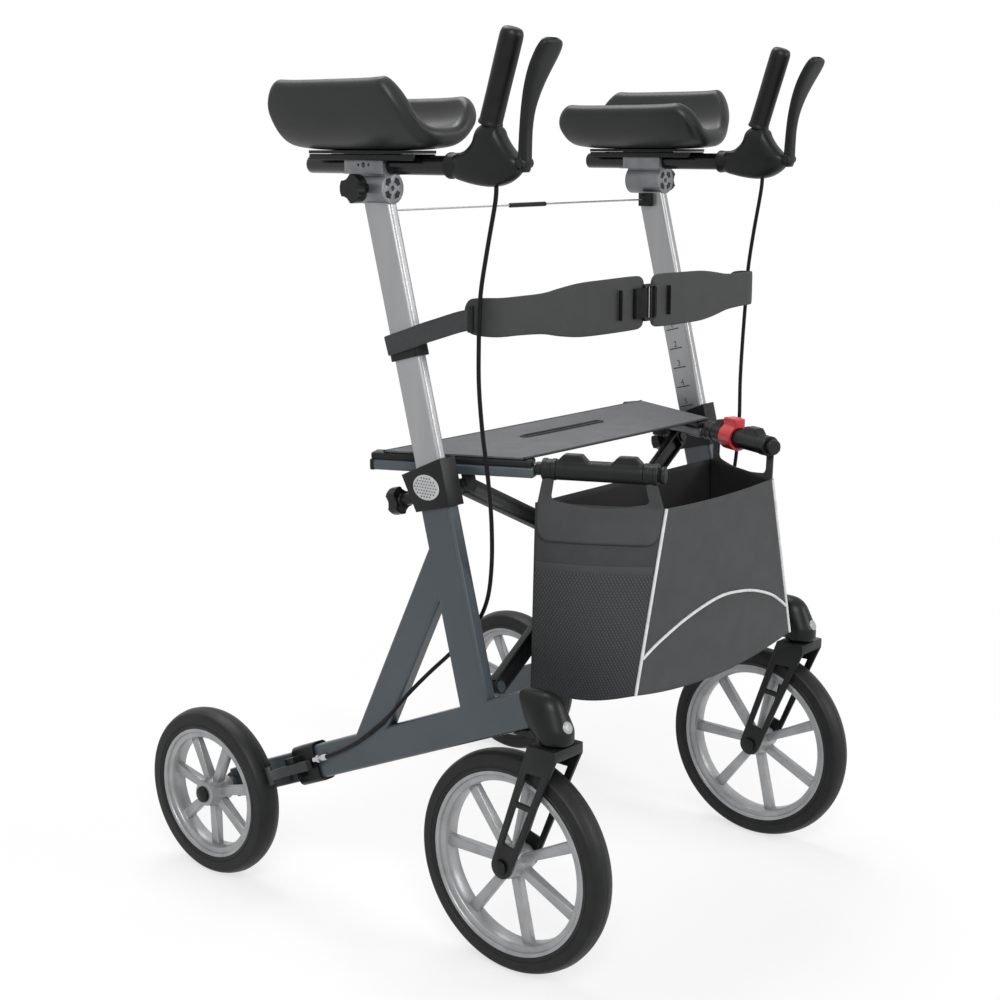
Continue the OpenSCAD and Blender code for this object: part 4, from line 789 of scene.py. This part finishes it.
# Folding brace: two flat channel bars under the seat, pinned where they cross, with their feet on
# the frames and their heads on the seat rails. Black powder coat, with black zinc pins.
bar_black = grained("rough_black_powder_coat", ("#131415", "#1c1d1e"), 60, 2.0, 0.05, 0.42, 0.06,
                    shine=0.24)
for end in ("front", "rear"):
    fit(rounded(f"{end}_cross_bar", f"{end}_brace_bar", 0.9), bar_black, f"{end}_bar",
        f"{end}_cross_bar", slot="steel")
fit(rounded("cross_pin", "brace_pivot", 0.7), black_coat, "front_bar", "cross_pin", slot="steel")

# Seat rails: oval tubes in the frame's colour that drop on the collars, with the seat's fabric
# clamped in a dark strip on top. A rod runs on forwards with a plastic sleeve for the bag.
RAIL_BACK = (289, -3, 636)
RAIL_TOE = radians(23.5)
RAIL_HALF = 12
RAIL_H = 24
RAIL_SEAT_LEN = 224
STRIP_H = 9.5
STRIP_Z = RAIL_H - STRIP_H
ROD_Z = 12


def on_rail(x, along, z):
    """Place by the left rail: x outwards, along its run to the front, z above its underside."""
    return Vector((RAIL_BACK[0] + x * cos(RAIL_TOE) - along * sin(RAIL_TOE),
                   RAIL_BACK[1] - x * sin(RAIL_TOE) - along * cos(RAIL_TOE), RAIL_BACK[2] + z))


def sliced(node, name, spot, way):
    """A copy of the part of a solid on one side of a plane."""
    piece = copy_of(node, name)
    edited(piece, (bpy.ops.mesh.bisect, {"plane_co": Vector(spot) * MM, "plane_no": way,
                                         "use_fill": True, "clear_outer": True}))
    return piece


rail_coat = grained("satin_rail_powder_coat", ("#323b41", "#3c464c"), 90, 2.2, 0.05, 0.36, 0.06,
                    coat_weight=0.15, coat_roughness=0.3)
strip_black = grained("extruded_black_strip", ("#121314", "#1a1b1c"), 40, 1.8, 0.06, 0.42, 0.07,
                      stretch=(1, 0.3, 1), shine=0.22)
# Talc-filled polypropylene of the sleeve: a dull grey black with a fine grain.
sleeve_black = grained("moulded_black_polypropylene", ("#121314", "#1a1b1c"), 40, 1.8, 0.08, 0.42,
                       0.07, shine=0.22)
fit_pair(block("left_rail_tube", (-RAIL_HALF, 0, 0), (RAIL_HALF, RAIL_SEAT_LEN, STRIP_Z), 3.4, 4,
               on_rail), rail_coat, "rail", slot="rail_paint")
fit_pair(block("left_rail_strip", (-RAIL_HALF - 0.4, -0.6, STRIP_Z - 0.6),
               (RAIL_HALF + 0.4, RAIL_SEAT_LEN - 3, RAIL_H + 0.2), 3.6, 4, on_rail),
         strip_black, "rail")
fit_pair(block("left_rail_cap", (-RAIL_HALF - 0.3, -2.2, -0.3), (RAIL_HALF + 0.3, 5, STRIP_Z + 0.3),
               2.1, 4, on_rail), black_nylon, "rail")
for hand, side in (("left", 1), ("right", -1)):
    mouth = on_rail(0, RAIL_SEAT_LEN + 0.2, 0)
    bag_rod = sliced(f"{hand}_seat_rail", f"{hand}_bag_rod", (side * mouth.x, mouth.y, mouth.z),
                     (side * sin(RAIL_TOE), cos(RAIL_TOE), 0))
    fit(melted(bag_rod, 1.2, 8), sleeve_black, f"{hand}_rail", f"{hand}_seat_rail")
    lug = sliced(f"{hand}_seat_rail", f"{hand}_rail_lug", (0, 0, RAIL_BACK[2] - 0.2), (0, 0, 1))
    fit(eased(lug, 0.6), black_coat, f"{hand}_rail", slot="rail_paint")
# Dyed red acetal: bright and glossy.
latch_red = grained("moulded_red_acetal", ("#b01f27", "#bf2830"), 14, 1.4, 0.04, 0.32, 0.06)
fit(fused("fold_latch", "fold_release", 0.9, 12), latch_red, "latch", "fold_latch",
    slot="latch_red")

# Seat: a woven polyester sheet stretched between the rails, hemmed at the front and the back, with
# a bound slot in the middle that a hand pulls to fold the walker.
SEAT_Z = 661.8
# Place and half width of the two ends.
SEAT_BACK = (-25, 291.5)
SEAT_FRONT = (-200.4, 215.5)
SEAT_T = 2.2
SEAT_SAG = 1.0
SLOT_Y = -96
SLOT_LEN = 180
SLOT_W = 12
BEAD_HALVES = (2.0, 1.3)
BEAD_PROUD = 0.9
HEM_W = 6
HEM_T = 3.4
SLUB_MM = 30


def crossed(tree, shape, pitches_mm):
    """Product of two waves over the flat cut, one across it and one along it."""
    flat = add(tree, "SeparateXYZ", {0: add(tree, "TexCoord").outputs["UV"]})
    waves = []
    for axis, pitch in zip("XY", pitches_mm):
        phase = add(tree, "Math", {0: flat.outputs[axis], 1: 2 * pi / (pitch * MM)},
                    operation="MULTIPLY")
        waves.append(add(tree, "Math", {0: phase.outputs[0]}, operation=shape).outputs[0])
    return add(tree, "Math", {0: waves[0], 1: waves[1]}, operation="MULTIPLY").outputs[0]


def woven(name, shades, pitch_mm, depth_mm, rough, **sockets):
    """Plain weave over the flat cut: threads cross over and under each other."""
    made, tree, shader = begun(name, roughness=rough, **sockets)
    over = crossed(tree, "SINE", (pitch_mm, pitch_mm))
    slub = add(tree, "TexNoise", {"Vector": add(tree, "TexCoord").outputs["Object"],
                                  "Scale": 1 / (SLUB_MM * MM), "Detail": 4.0})
    shade = add(tree, "Math", {0: over, 1: 0.3, 2: slub.outputs[0]}, operation="MULTIPLY_ADD")
    toned(tree, shader, shade.outputs[0], (0.2, 0.8), shades, over, depth_mm, 0.6)
    return made


def seat_place(u, v):
    """Point of the seat: u across it, v from the back to the front, with a slight dip."""
    s = 2 * u - 1
    y, half = Vector(SEAT_BACK).lerp(Vector(SEAT_FRONT), v)
    return (s * half, y, SEAT_Z - SEAT_SAG * (1 - s * s) * (1 - 0.5 * (2 * v - 1) ** 2))


def slot_place(u, v):
    """Point of the bead round the slot: u round the slot, v round the bead."""
    bend = SLOT_W / 2
    straight = SLOT_LEN - SLOT_W
    half_round = straight + pi * bend
    end, rest = divmod(u * 2 * half_round, half_round)
    if rest < straight:
        x, y, out = rest - straight / 2, bend, Vector((0, 1))
    else:
        turn = pi / 2 - (rest - straight) / bend
        out = Vector((cos(turn), sin(turn)))
        x, y = straight / 2 + out.x * bend, out.y * bend
    if end:
        x, y, out = -x, -y, -out
    wide = BEAD_HALVES[0] * cos(2 * pi * v)
    return (x + out.x * wide, SLOT_Y + y + out.y * wide,
            SEAT_Z + BEAD_PROUD + BEAD_HALVES[1] * sin(2 * pi * v))


seat_weave = woven("woven_seat_polyester", ("#3a3c3e", "#4e5153"), 2.6, 0.25, 0.7,
                   sheen_weight=0.06)
binding = grained("ribbed_black_binding", ("#17181a", "#202123"), 10, 1.5, 0.1, 0.6, 0.08,
                  shine=0.36)
seat = formed("seat_fabric", seat_place, 72, 24, cut=(585, 176))
apply(seat, "SOLIDIFY", thickness=SEAT_T * MM, offset=0)
cutter = block("slot_cutter", (-SLOT_LEN / 2, -SLOT_W / 2, -10), (SLOT_LEN / 2, SLOT_W / 2, 10),
               SLOT_W / 2 - 0.1, 8, lambda x, y, z: (x, y + SLOT_Y, z * 3 + SEAT_Z))
apply(seat, "BOOLEAN", operation="DIFFERENCE", solver="EXACT", object=cutter)
bpy.data.objects.remove(cutter)
smooth(seat, 35)
bead = formed("seat_slot_binding", slot_place, 160, 12, angle=80)
hems = []
for name, y, half in (("front", *SEAT_FRONT), ("back", *SEAT_BACK)):
    edge = [(x * half, y, SEAT_Z - SEAT_SAG * 0.5 * (1 - x * x), HEM_W, HEM_T)
            for x in (-1, -0.6, -0.2, 0.2, 0.6, 1)]
    hems.append(swept(f"seat_{name}_hem", edge, (0, 1, 0), 16, 60))
for piece, finish in ((seat, seat_weave), (bead, binding), (hems[0], binding), (hems[1], binding)):
    fit(piece, finish, "right_rail", *(["seat_sheet"] if piece is seat else []),
        slot="seat_fabric")
    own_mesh(piece)

# Bag: sewn from woven polyester, hung by two flaps from the rods. Its sides have pockets of
# stretch mesh, and its front is edged and crossed by pale reflective piping.
BAG_FRONT_Y = -365
BAG_BACK_Y = -213
# Half widths at the bottom and the top.
BAG_FRONT_HALVES = (189, 128)
BAG_BACK_HALVES = (214, 206)
BAG_LOW_Z = 370
BAG_TOP_Z = 604
BAG_HEIGHT = BAG_TOP_Z - BAG_LOW_Z
BAG_BACK_DROP = 14
BAG_FRONT_SAG = 18
BAG_SIDE_SAG = 12
BAG_FLOOR_SAG = 6
BAG_BULGE = 6
BAG_FRONT_SWELL = 4
BAG_BACK_SWELL = 3
BAG_BRIM_DIP = 4
SIDE_OUT = Vector((0.89, -0.45, 0))
CLOTH_T = 1.4
POCKET_TOP_Z = 522
POCKET_SHARE = (POCKET_TOP_Z - BAG_LOW_Z) / BAG_HEIGHT
PIPING_PROUD = 1.2
FLAP_LEN = 166
FLAP_TOP_Z = 641
FLAP_T = 1.6
FLAP_PROUD = 1.6
# Inset, lowest height, bend and sag of a flap's outer and its inner edge.
FLAP_OUTER = (0, 557, 16, 0)
FLAP_INNER = (17, 609, 7, 7)
FLAP_X = 6
FLAP_OVER = 10
LOOP_PLACES = (243, 377)
LOOP_HALF = [(9.5, 9.4), (13.4, 9.4), (14.3, 8.6), (14.3, 4), (13.5, 3.2)]
PIPING_D = 4.2
WAVE_PIPING = ((-177, 415), (-158, 424), (-138, 432), (-93, 447), (-46, 458), (2, 464), (52, 460),
               (91, 452), (132, 438), (158, 424), (176, 412))


def bag_corner(back, share):
    """Corner edge of the bag's left side at a share of its height: (x, y, z)."""
    low, top = BAG_BACK_HALVES if back else BAG_FRONT_HALVES
    foot = BAG_LOW_Z - (BAG_BACK_DROP if back else 0)
    return Vector((low + (top - low) * share, BAG_BACK_Y if back else BAG_FRONT_Y,
                   foot + (BAG_TOP_Z - foot) * share))


def front_place(u, v):
    """Point of the front panel: u across it, v up it."""
    s = 2 * u - 1
    belly = 1 - s * s
    edge = bag_corner(False, v)
    return (s * edge.x, edge.y - BAG_FRONT_SWELL * belly * sin(pi * min(v * 1.15, 1)),
            edge.z - BAG_FRONT_SAG * belly * (1 - v) ** 2 - BAG_BRIM_DIP * belly * v)


def side_place(u, v, proud=0.0):
    """Point of the left side panel: u from the back to the front, v up it."""
    spot = bag_corner(True, v).lerp(bag_corner(False, v), u)
    swell = sin(pi * u) * sin(pi * min(max(v, 0), 1))
    spot.z -= BAG_SIDE_SAG * sin(pi * u) * (1 - v) ** 2
    return spot + SIDE_OUT * (BAG_BULGE * swell + proud)


def pocket_place(u, v):
    """Point of a mesh pocket on the side panel."""
    return side_place(0.015 + 0.965 * u, v * POCKET_SHARE, 1.4 + 4 * sin(pi * u) * sin(pi * v))


def hem_place(u, v):
    """Point of the hem on a pocket's mouth."""
    return side_place(0.015 + 0.965 * u, POCKET_SHARE - 0.005 + 0.045 * v, 1.5 + 0.6 * sin(pi * v))


def back_place(u, v):
    """Point of the back panel: u across it, v up it."""
    edge = bag_corner(True, v)
    return ((2 * u - 1) * edge.x, edge.y + BAG_BACK_SWELL * sin(pi * u) * sin(pi * v), edge.z)


def floor_place(u, v):
    """Point of the bag's floor: u across it, v from the back to the front."""
    s = 2 * u - 1
    belly = 1 - s * s
    edge = bag_corner(True, 0).lerp(bag_corner(False, 0), v)
    sides = BAG_SIDE_SAG * sin(pi * v) * abs(s) ** 3
    return (s * edge.x, edge.y,
            edge.z - BAG_FRONT_SAG * v * belly - sides - BAG_FLOOR_SAG * belly * sin(pi * v))


def flap_place(u, v):
    """Point of a flap: u along its U from ear to ear, v from its outer to its inner edge."""
    def path(edge, bottom, bend, sag):
        rise = FLAP_TOP_Z - bottom - bend
        run = FLAP_LEN - 2 * edge - 2 * bend
        arc = pi / 2 * bend
        way = u * (2 * rise + 2 * arc + run)
        back = way > rise + arc + run / 2
        if back:
            way = 2 * rise + 2 * arc + run - way
        if way < rise:
            a, z = edge, FLAP_TOP_Z - way
        elif way < rise + arc:
            turn = (way - rise) / bend
            a, z = edge + bend * (1 - cos(turn)), bottom + bend * (1 - sin(turn))
        else:
            a, z = edge + bend + way - rise - arc, bottom
        if z < bottom + bend:
            z -= sag * max(0, sin(pi * (a - edge) / (FLAP_LEN - 2 * edge)))
        return Vector((FLAP_LEN - a if back else a, z))

    a, z = path(*FLAP_OUTER).lerp(path(*FLAP_INNER), v)
    share = (a + 3) / (FLAP_LEN + 6)
    if z < BAG_TOP_Z:
        return side_place(share, (z - BAG_LOW_Z) / BAG_HEIGHT, FLAP_PROUD)
    low = side_place(share, 1, FLAP_PROUD)
    first, last = LOOP_PLACES[0] - FLAP_OVER, LOOP_PLACES[1] + FLAP_OVER
    high = on_rail(FLAP_X, first + share * (last - first), 0)
    return low.lerp(Vector((high.x, high.y, FLAP_TOP_Z)),
                    (z - BAG_TOP_Z) / (FLAP_TOP_Z - BAG_TOP_Z))


def netted(name, shades, across_mm, up_mm, rough):
    """Stretch mesh over the flat cut: staggered raised dots over a darker ground."""
    made, tree, shader = begun(name, roughness=rough)
    dots = crossed(tree, "COSINE", (across_mm, 2 * up_mm))
    toned(tree, shader, dots, (0.1, 0.75), shades, dots, 0.5, 0.5)
    return made


def hang(piece, finish, rail=None):
    """Sews a piece to the bag, with which it folds up, or to the rod of one rail."""
    fit(piece, finish, rail or "right_rail", slot="bag_fabric")
    if not rail:
        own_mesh(piece)
    return piece


def panel(name, place, across, along, cut, finish):
    """A cut of bag fabric with a near-black lining on its inner face, painted shade for the dark
    inside of the bag.
    """
    piece = formed(name, place, across, along, cut)
    for layer in (finish, shade_lining):
        piece.data.materials.append(layer)
    apply(piece, "SOLIDIFY", thickness=CLOTH_T * MM, offset=0, material_offset=1,
          material_offset_rim=0)
    return piece


bag_weave = woven("woven_bag_polyester", ("#262728", "#323435"), 2.2, 0.2, 0.74, sheen_weight=0.04)
flap_weave = woven("coated_flap_polyester", ("#2a2c2d", "#353738"), 1.8, 0.12, 0.66)
# The lining is painted near black as painted shade for the inside of the bag: on every panel's
# inner face and on both faces of the back panel.
shade_lining = woven("painted_shade_bag_lining", ("#0f0f10", "#161617"), 2.2, 0.15, 0.8)
pocket_net = netted("stretch_pocket_mesh", ("#222425", "#3c3e40"), 4.6, 3.6, 0.7)
# Reflective piping: pale grey cord cover with glass beads.
piping_grey = grained("reflective_pale_piping", ("#b9babb", "#cdcecf"), 12, 1.4, 0.06, 0.5, 0.08)
front = panel("bag_front_panel", front_place, 60, 40, (340, 236), bag_weave)
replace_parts(hang(front, None), "bag")
hang(panel("bag_back_panel", back_place, 40, 30, (420, 240), shade_lining), None)
hang(panel("bag_floor", floor_place, 50, 24, (400, 152), bag_weave), None)
corner = [(*(bag_corner(False, step / 8) + Vector((0.8, -0.8, 0))), PIPING_D, PIPING_D)
          for step in range(9)]
for hand in ("left", "right"):
    wall = panel(f"{hand}_bag_side", side_place, 36, 44, (160, 240), bag_weave)
    pocket = formed(f"{hand}_bag_pocket", pocket_place, 40, 40, cut=(155, 165))
    hem = formed(f"{hand}_pocket_hem", hem_place, 40, 8, cut=(155, 11))
    flap = formed(f"{hand}_bag_flap", flap_place, 120, 14, cut=(320, 45))
    apply(flap, "SOLIDIFY", thickness=FLAP_T * MM, offset=1)
    edge = swept(f"{hand}_bag_edge_piping", corner, (1, 0, 0), 12, 60)
    for piece, finish, flat, area in (
            (wall, None, (0.170, 0.260), 0.0395), (pocket, pocket_net, (0.158, 0.180), 0.0259),
            (hem, flap_weave, (0.158, 0.0125), None), (flap, flap_weave, (0.168, 0.088), 0.0105),
            (edge, piping_grey, None, None)):
        if hand == "right":
            flip(piece)
        hang(piece, finish, rail=f"{hand}_rail" if piece is flap else None)
    for number, along in enumerate(LOOP_PLACES, 1):
        loop = turned(f"{hand}_bag_loop_{number}", both_sides(LOOP_HALF), on_rail(0, along, ROD_Z),
                      (sin(RAIL_TOE), cos(RAIL_TOE), 0), 48)
        if hand == "right":
            flip(loop)
        fit(loop, sleeve_black, f"{hand}_rail", slot="bag_fabric")
wave = []
for x, z in WAVE_PIPING:
    share = (z - BAG_LOW_Z) / BAG_HEIGHT
    spot = front_place((x / bag_corner(False, share).x + 1) / 2, share)
    wave.append((x, spot[1] - PIPING_PROUD, z, PIPING_D, PIPING_D))
hang(swept("bag_wave_piping", wave, (0, 1, 0), 12, 160), piping_grey)

# Backrest strap: two lined bands meet in a buckle at the middle and end in round tabs. A narrow
# strap runs from each tab to the ring on the post.
BAND_STATIONS = (
    (9, -238.4, 851.5, 44, 2.4), (10.6, -238.4, 851.5, 58, 4.2), (16, -238.2, 851.5, 68, 4.6),
    (30, -237.6, 851.5, 72, 4.8), (88, -235, 850.5, 72, 4.8), (140, -232.3, 850, 70, 4.8),
    (178, -230.3, 850, 62, 4.8), (212, -228.4, 850.5, 52, 4.8), (253, -226, 851, 49, 4.8),
    (281, -224, 851, 48.5, 4.8), (292, -219, 851, 48.5, 4.6), (297.6, -207, 851, 48, 4.6),
    (299.4, -193, 851, 46, 4.4), (299.5, -183, 851, 41, 4.0), (299.5, -176.6, 851, 27, 3.4),
    (299.5, -174.4, 851, 10, 2.6),
)
NARROW_STATIONS = (
    (303.2, -190, 847, 24, 1.6), (303.2, -184, 846.6, 26, 2.6), (304.6, -168, 843, 26, 2.6),
    (309, -140, 834, 26, 2.6), (313.6, -114, 825.4, 26, 2.6), (315.8, -100, 820, 26, 2.6),
    (316, -80, 813.4, 26, 2.6), (316, -60, 807, 26, 2.6), (316, -55, 805.4, 25, 2.0),
)
TAB_LOOP = Vector((303.6, -187, 848))
BUCKLE_SCALE = (0.9, 1.3, 1, 1)
BUCKLE_BARS = (-3.4, 3.4)
# The side of the walker and the two ends of each visible layer of webbing by the buckle.
DOUBLED_ENDS = ((-1, -34, -9), (-1, -66, -64.4), (1, 9, 14), (1, 46, 47.4))


def strap_on(piece, finish, side, *nodes):
    """Fixes a piece of the backrest to the post on its side."""
    fit(piece, finish, "left_post" if side > 0 else "right_post", *nodes, slot="strap_fabric")
    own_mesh(piece)
    return piece


def by_buckle(x, y, z):
    """Point that is given from the middle of the buckle."""
    return middle / MM + Vector((x, y, z))


strap_weave = woven("brushed_strap_fabric", ("#1e1f20", "#262728"), 1.6, 0.08, 0.72,
                    sheen_weight=0.04)
webbing = woven("ribbed_nylon_webbing", ("#242526", "#313334"), 2.0, 0.3, 0.7)
band = swept("left_back_band", BAND_STATIONS, (0, 0, 1), 48, 150, power=5, cut=(154, 350))
narrow = swept("left_strap_end", NARROW_STATIONS, (0, 0, 1), 32, 70, power=6, angle=60,
               cut=(57, 150))
for piece, side, nodes in ((band, 1, []), (mirrored(band), -1, ["backrest_strap"])):
    strap_on(piece, strap_weave, side, *nodes)
fit_pair(narrow, webbing, "post", slot="strap_fabric")
# The buckle is lower than the bands: a loop with two bars that the webbing doubles back through.
buckle = rounded("strap_buckle", "band_buckle", 1.2)
middle = sum(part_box("strap_buckle"), Vector()) / 2
buckle.data.transform(Matrix.Translation(middle) @ Matrix.Diagonal(BUCKLE_SCALE)
                      @ Matrix.Translation(-middle))
fit(buckle, black_nylon, "right_post", "strap_buckle")
bars = [block(f"buckle_bar_{number}", (x - 1.7, -1.6, -23), (x + 1.7, 1.6, 23), 1.3, 3, by_buckle)
        for number, x in enumerate(BUCKLE_BARS, 1)]
for piece in bars:
    fit(piece, black_nylon, "right_post")
# The anchor is far off, so that the buckle moves with the bands and keeps its shape.
for piece in (buckle, *bars):
    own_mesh(piece)
# The webbing by the buckle is painted near black, a painted shade where it curves in under the
# bands.
shaded_webbing = grained("painted_shade_webbing", ("#0c0c0d", "#131314"), 10, 1.5, 0.1, 0.7, 0.08,
                  shine=0.15)
for number, (side, first, last) in enumerate(DOUBLED_ENDS, 1):
    strap_on(block(f"buckle_webbing_{number}", (first, -3.1, -20), (last, 3.1, 20), 0.6, 3,
                   by_buckle), shaded_webbing, side)
fit_pair(block("left_tab_loop", (-1.6, -4.5, -17), (1.6, 4.5, 17), 1.4, 3,
               lambda *spot: TAB_LOOP + Vector(spot)), black_nylon, "post")

# Tie wire: a thin steel rope between the posts that limits how far the walker opens, with black
# clips at its ends and a plastic sleeve in the middle.
WIRE_R = 1.3
WIRE_HALF = 276
WIRE_TUCK = 4
SLEEVE_R = 3.3
SLEEVE_HALF = 40
middle = sum(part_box("tie_wire"), Vector()) / 2 / MM
wire_end = WIRE_HALF + WIRE_TUCK
wire = turned("opening_stop_wire", both_sides([(0, wire_end), (WIRE_R, wire_end)]), middle,
              steps=16)
sleeve = turned("wire_sleeve", both_sides([(0, SLEEVE_HALF), (SLEEVE_R - 0.9, SLEEVE_HALF),
                                           (SLEEVE_R, SLEEVE_HALF - 1)]), middle, steps=20)
fit(wire, zinc_steel, "right_post", "tie_wire", slot="steel")
fit(sleeve, black_nylon, "right_post")
for piece in (wire, sleeve):
    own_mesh(piece)
for side, hand in ((1, "left"), (-1, "right")):
    clip = sliced("tie_wire", f"{hand}_wire_clip", (side * WIRE_HALF, 0, 0), (-side, 0, 0))
    fit(eased(clip, 0.8), black_nylon, f"{hand}_post")
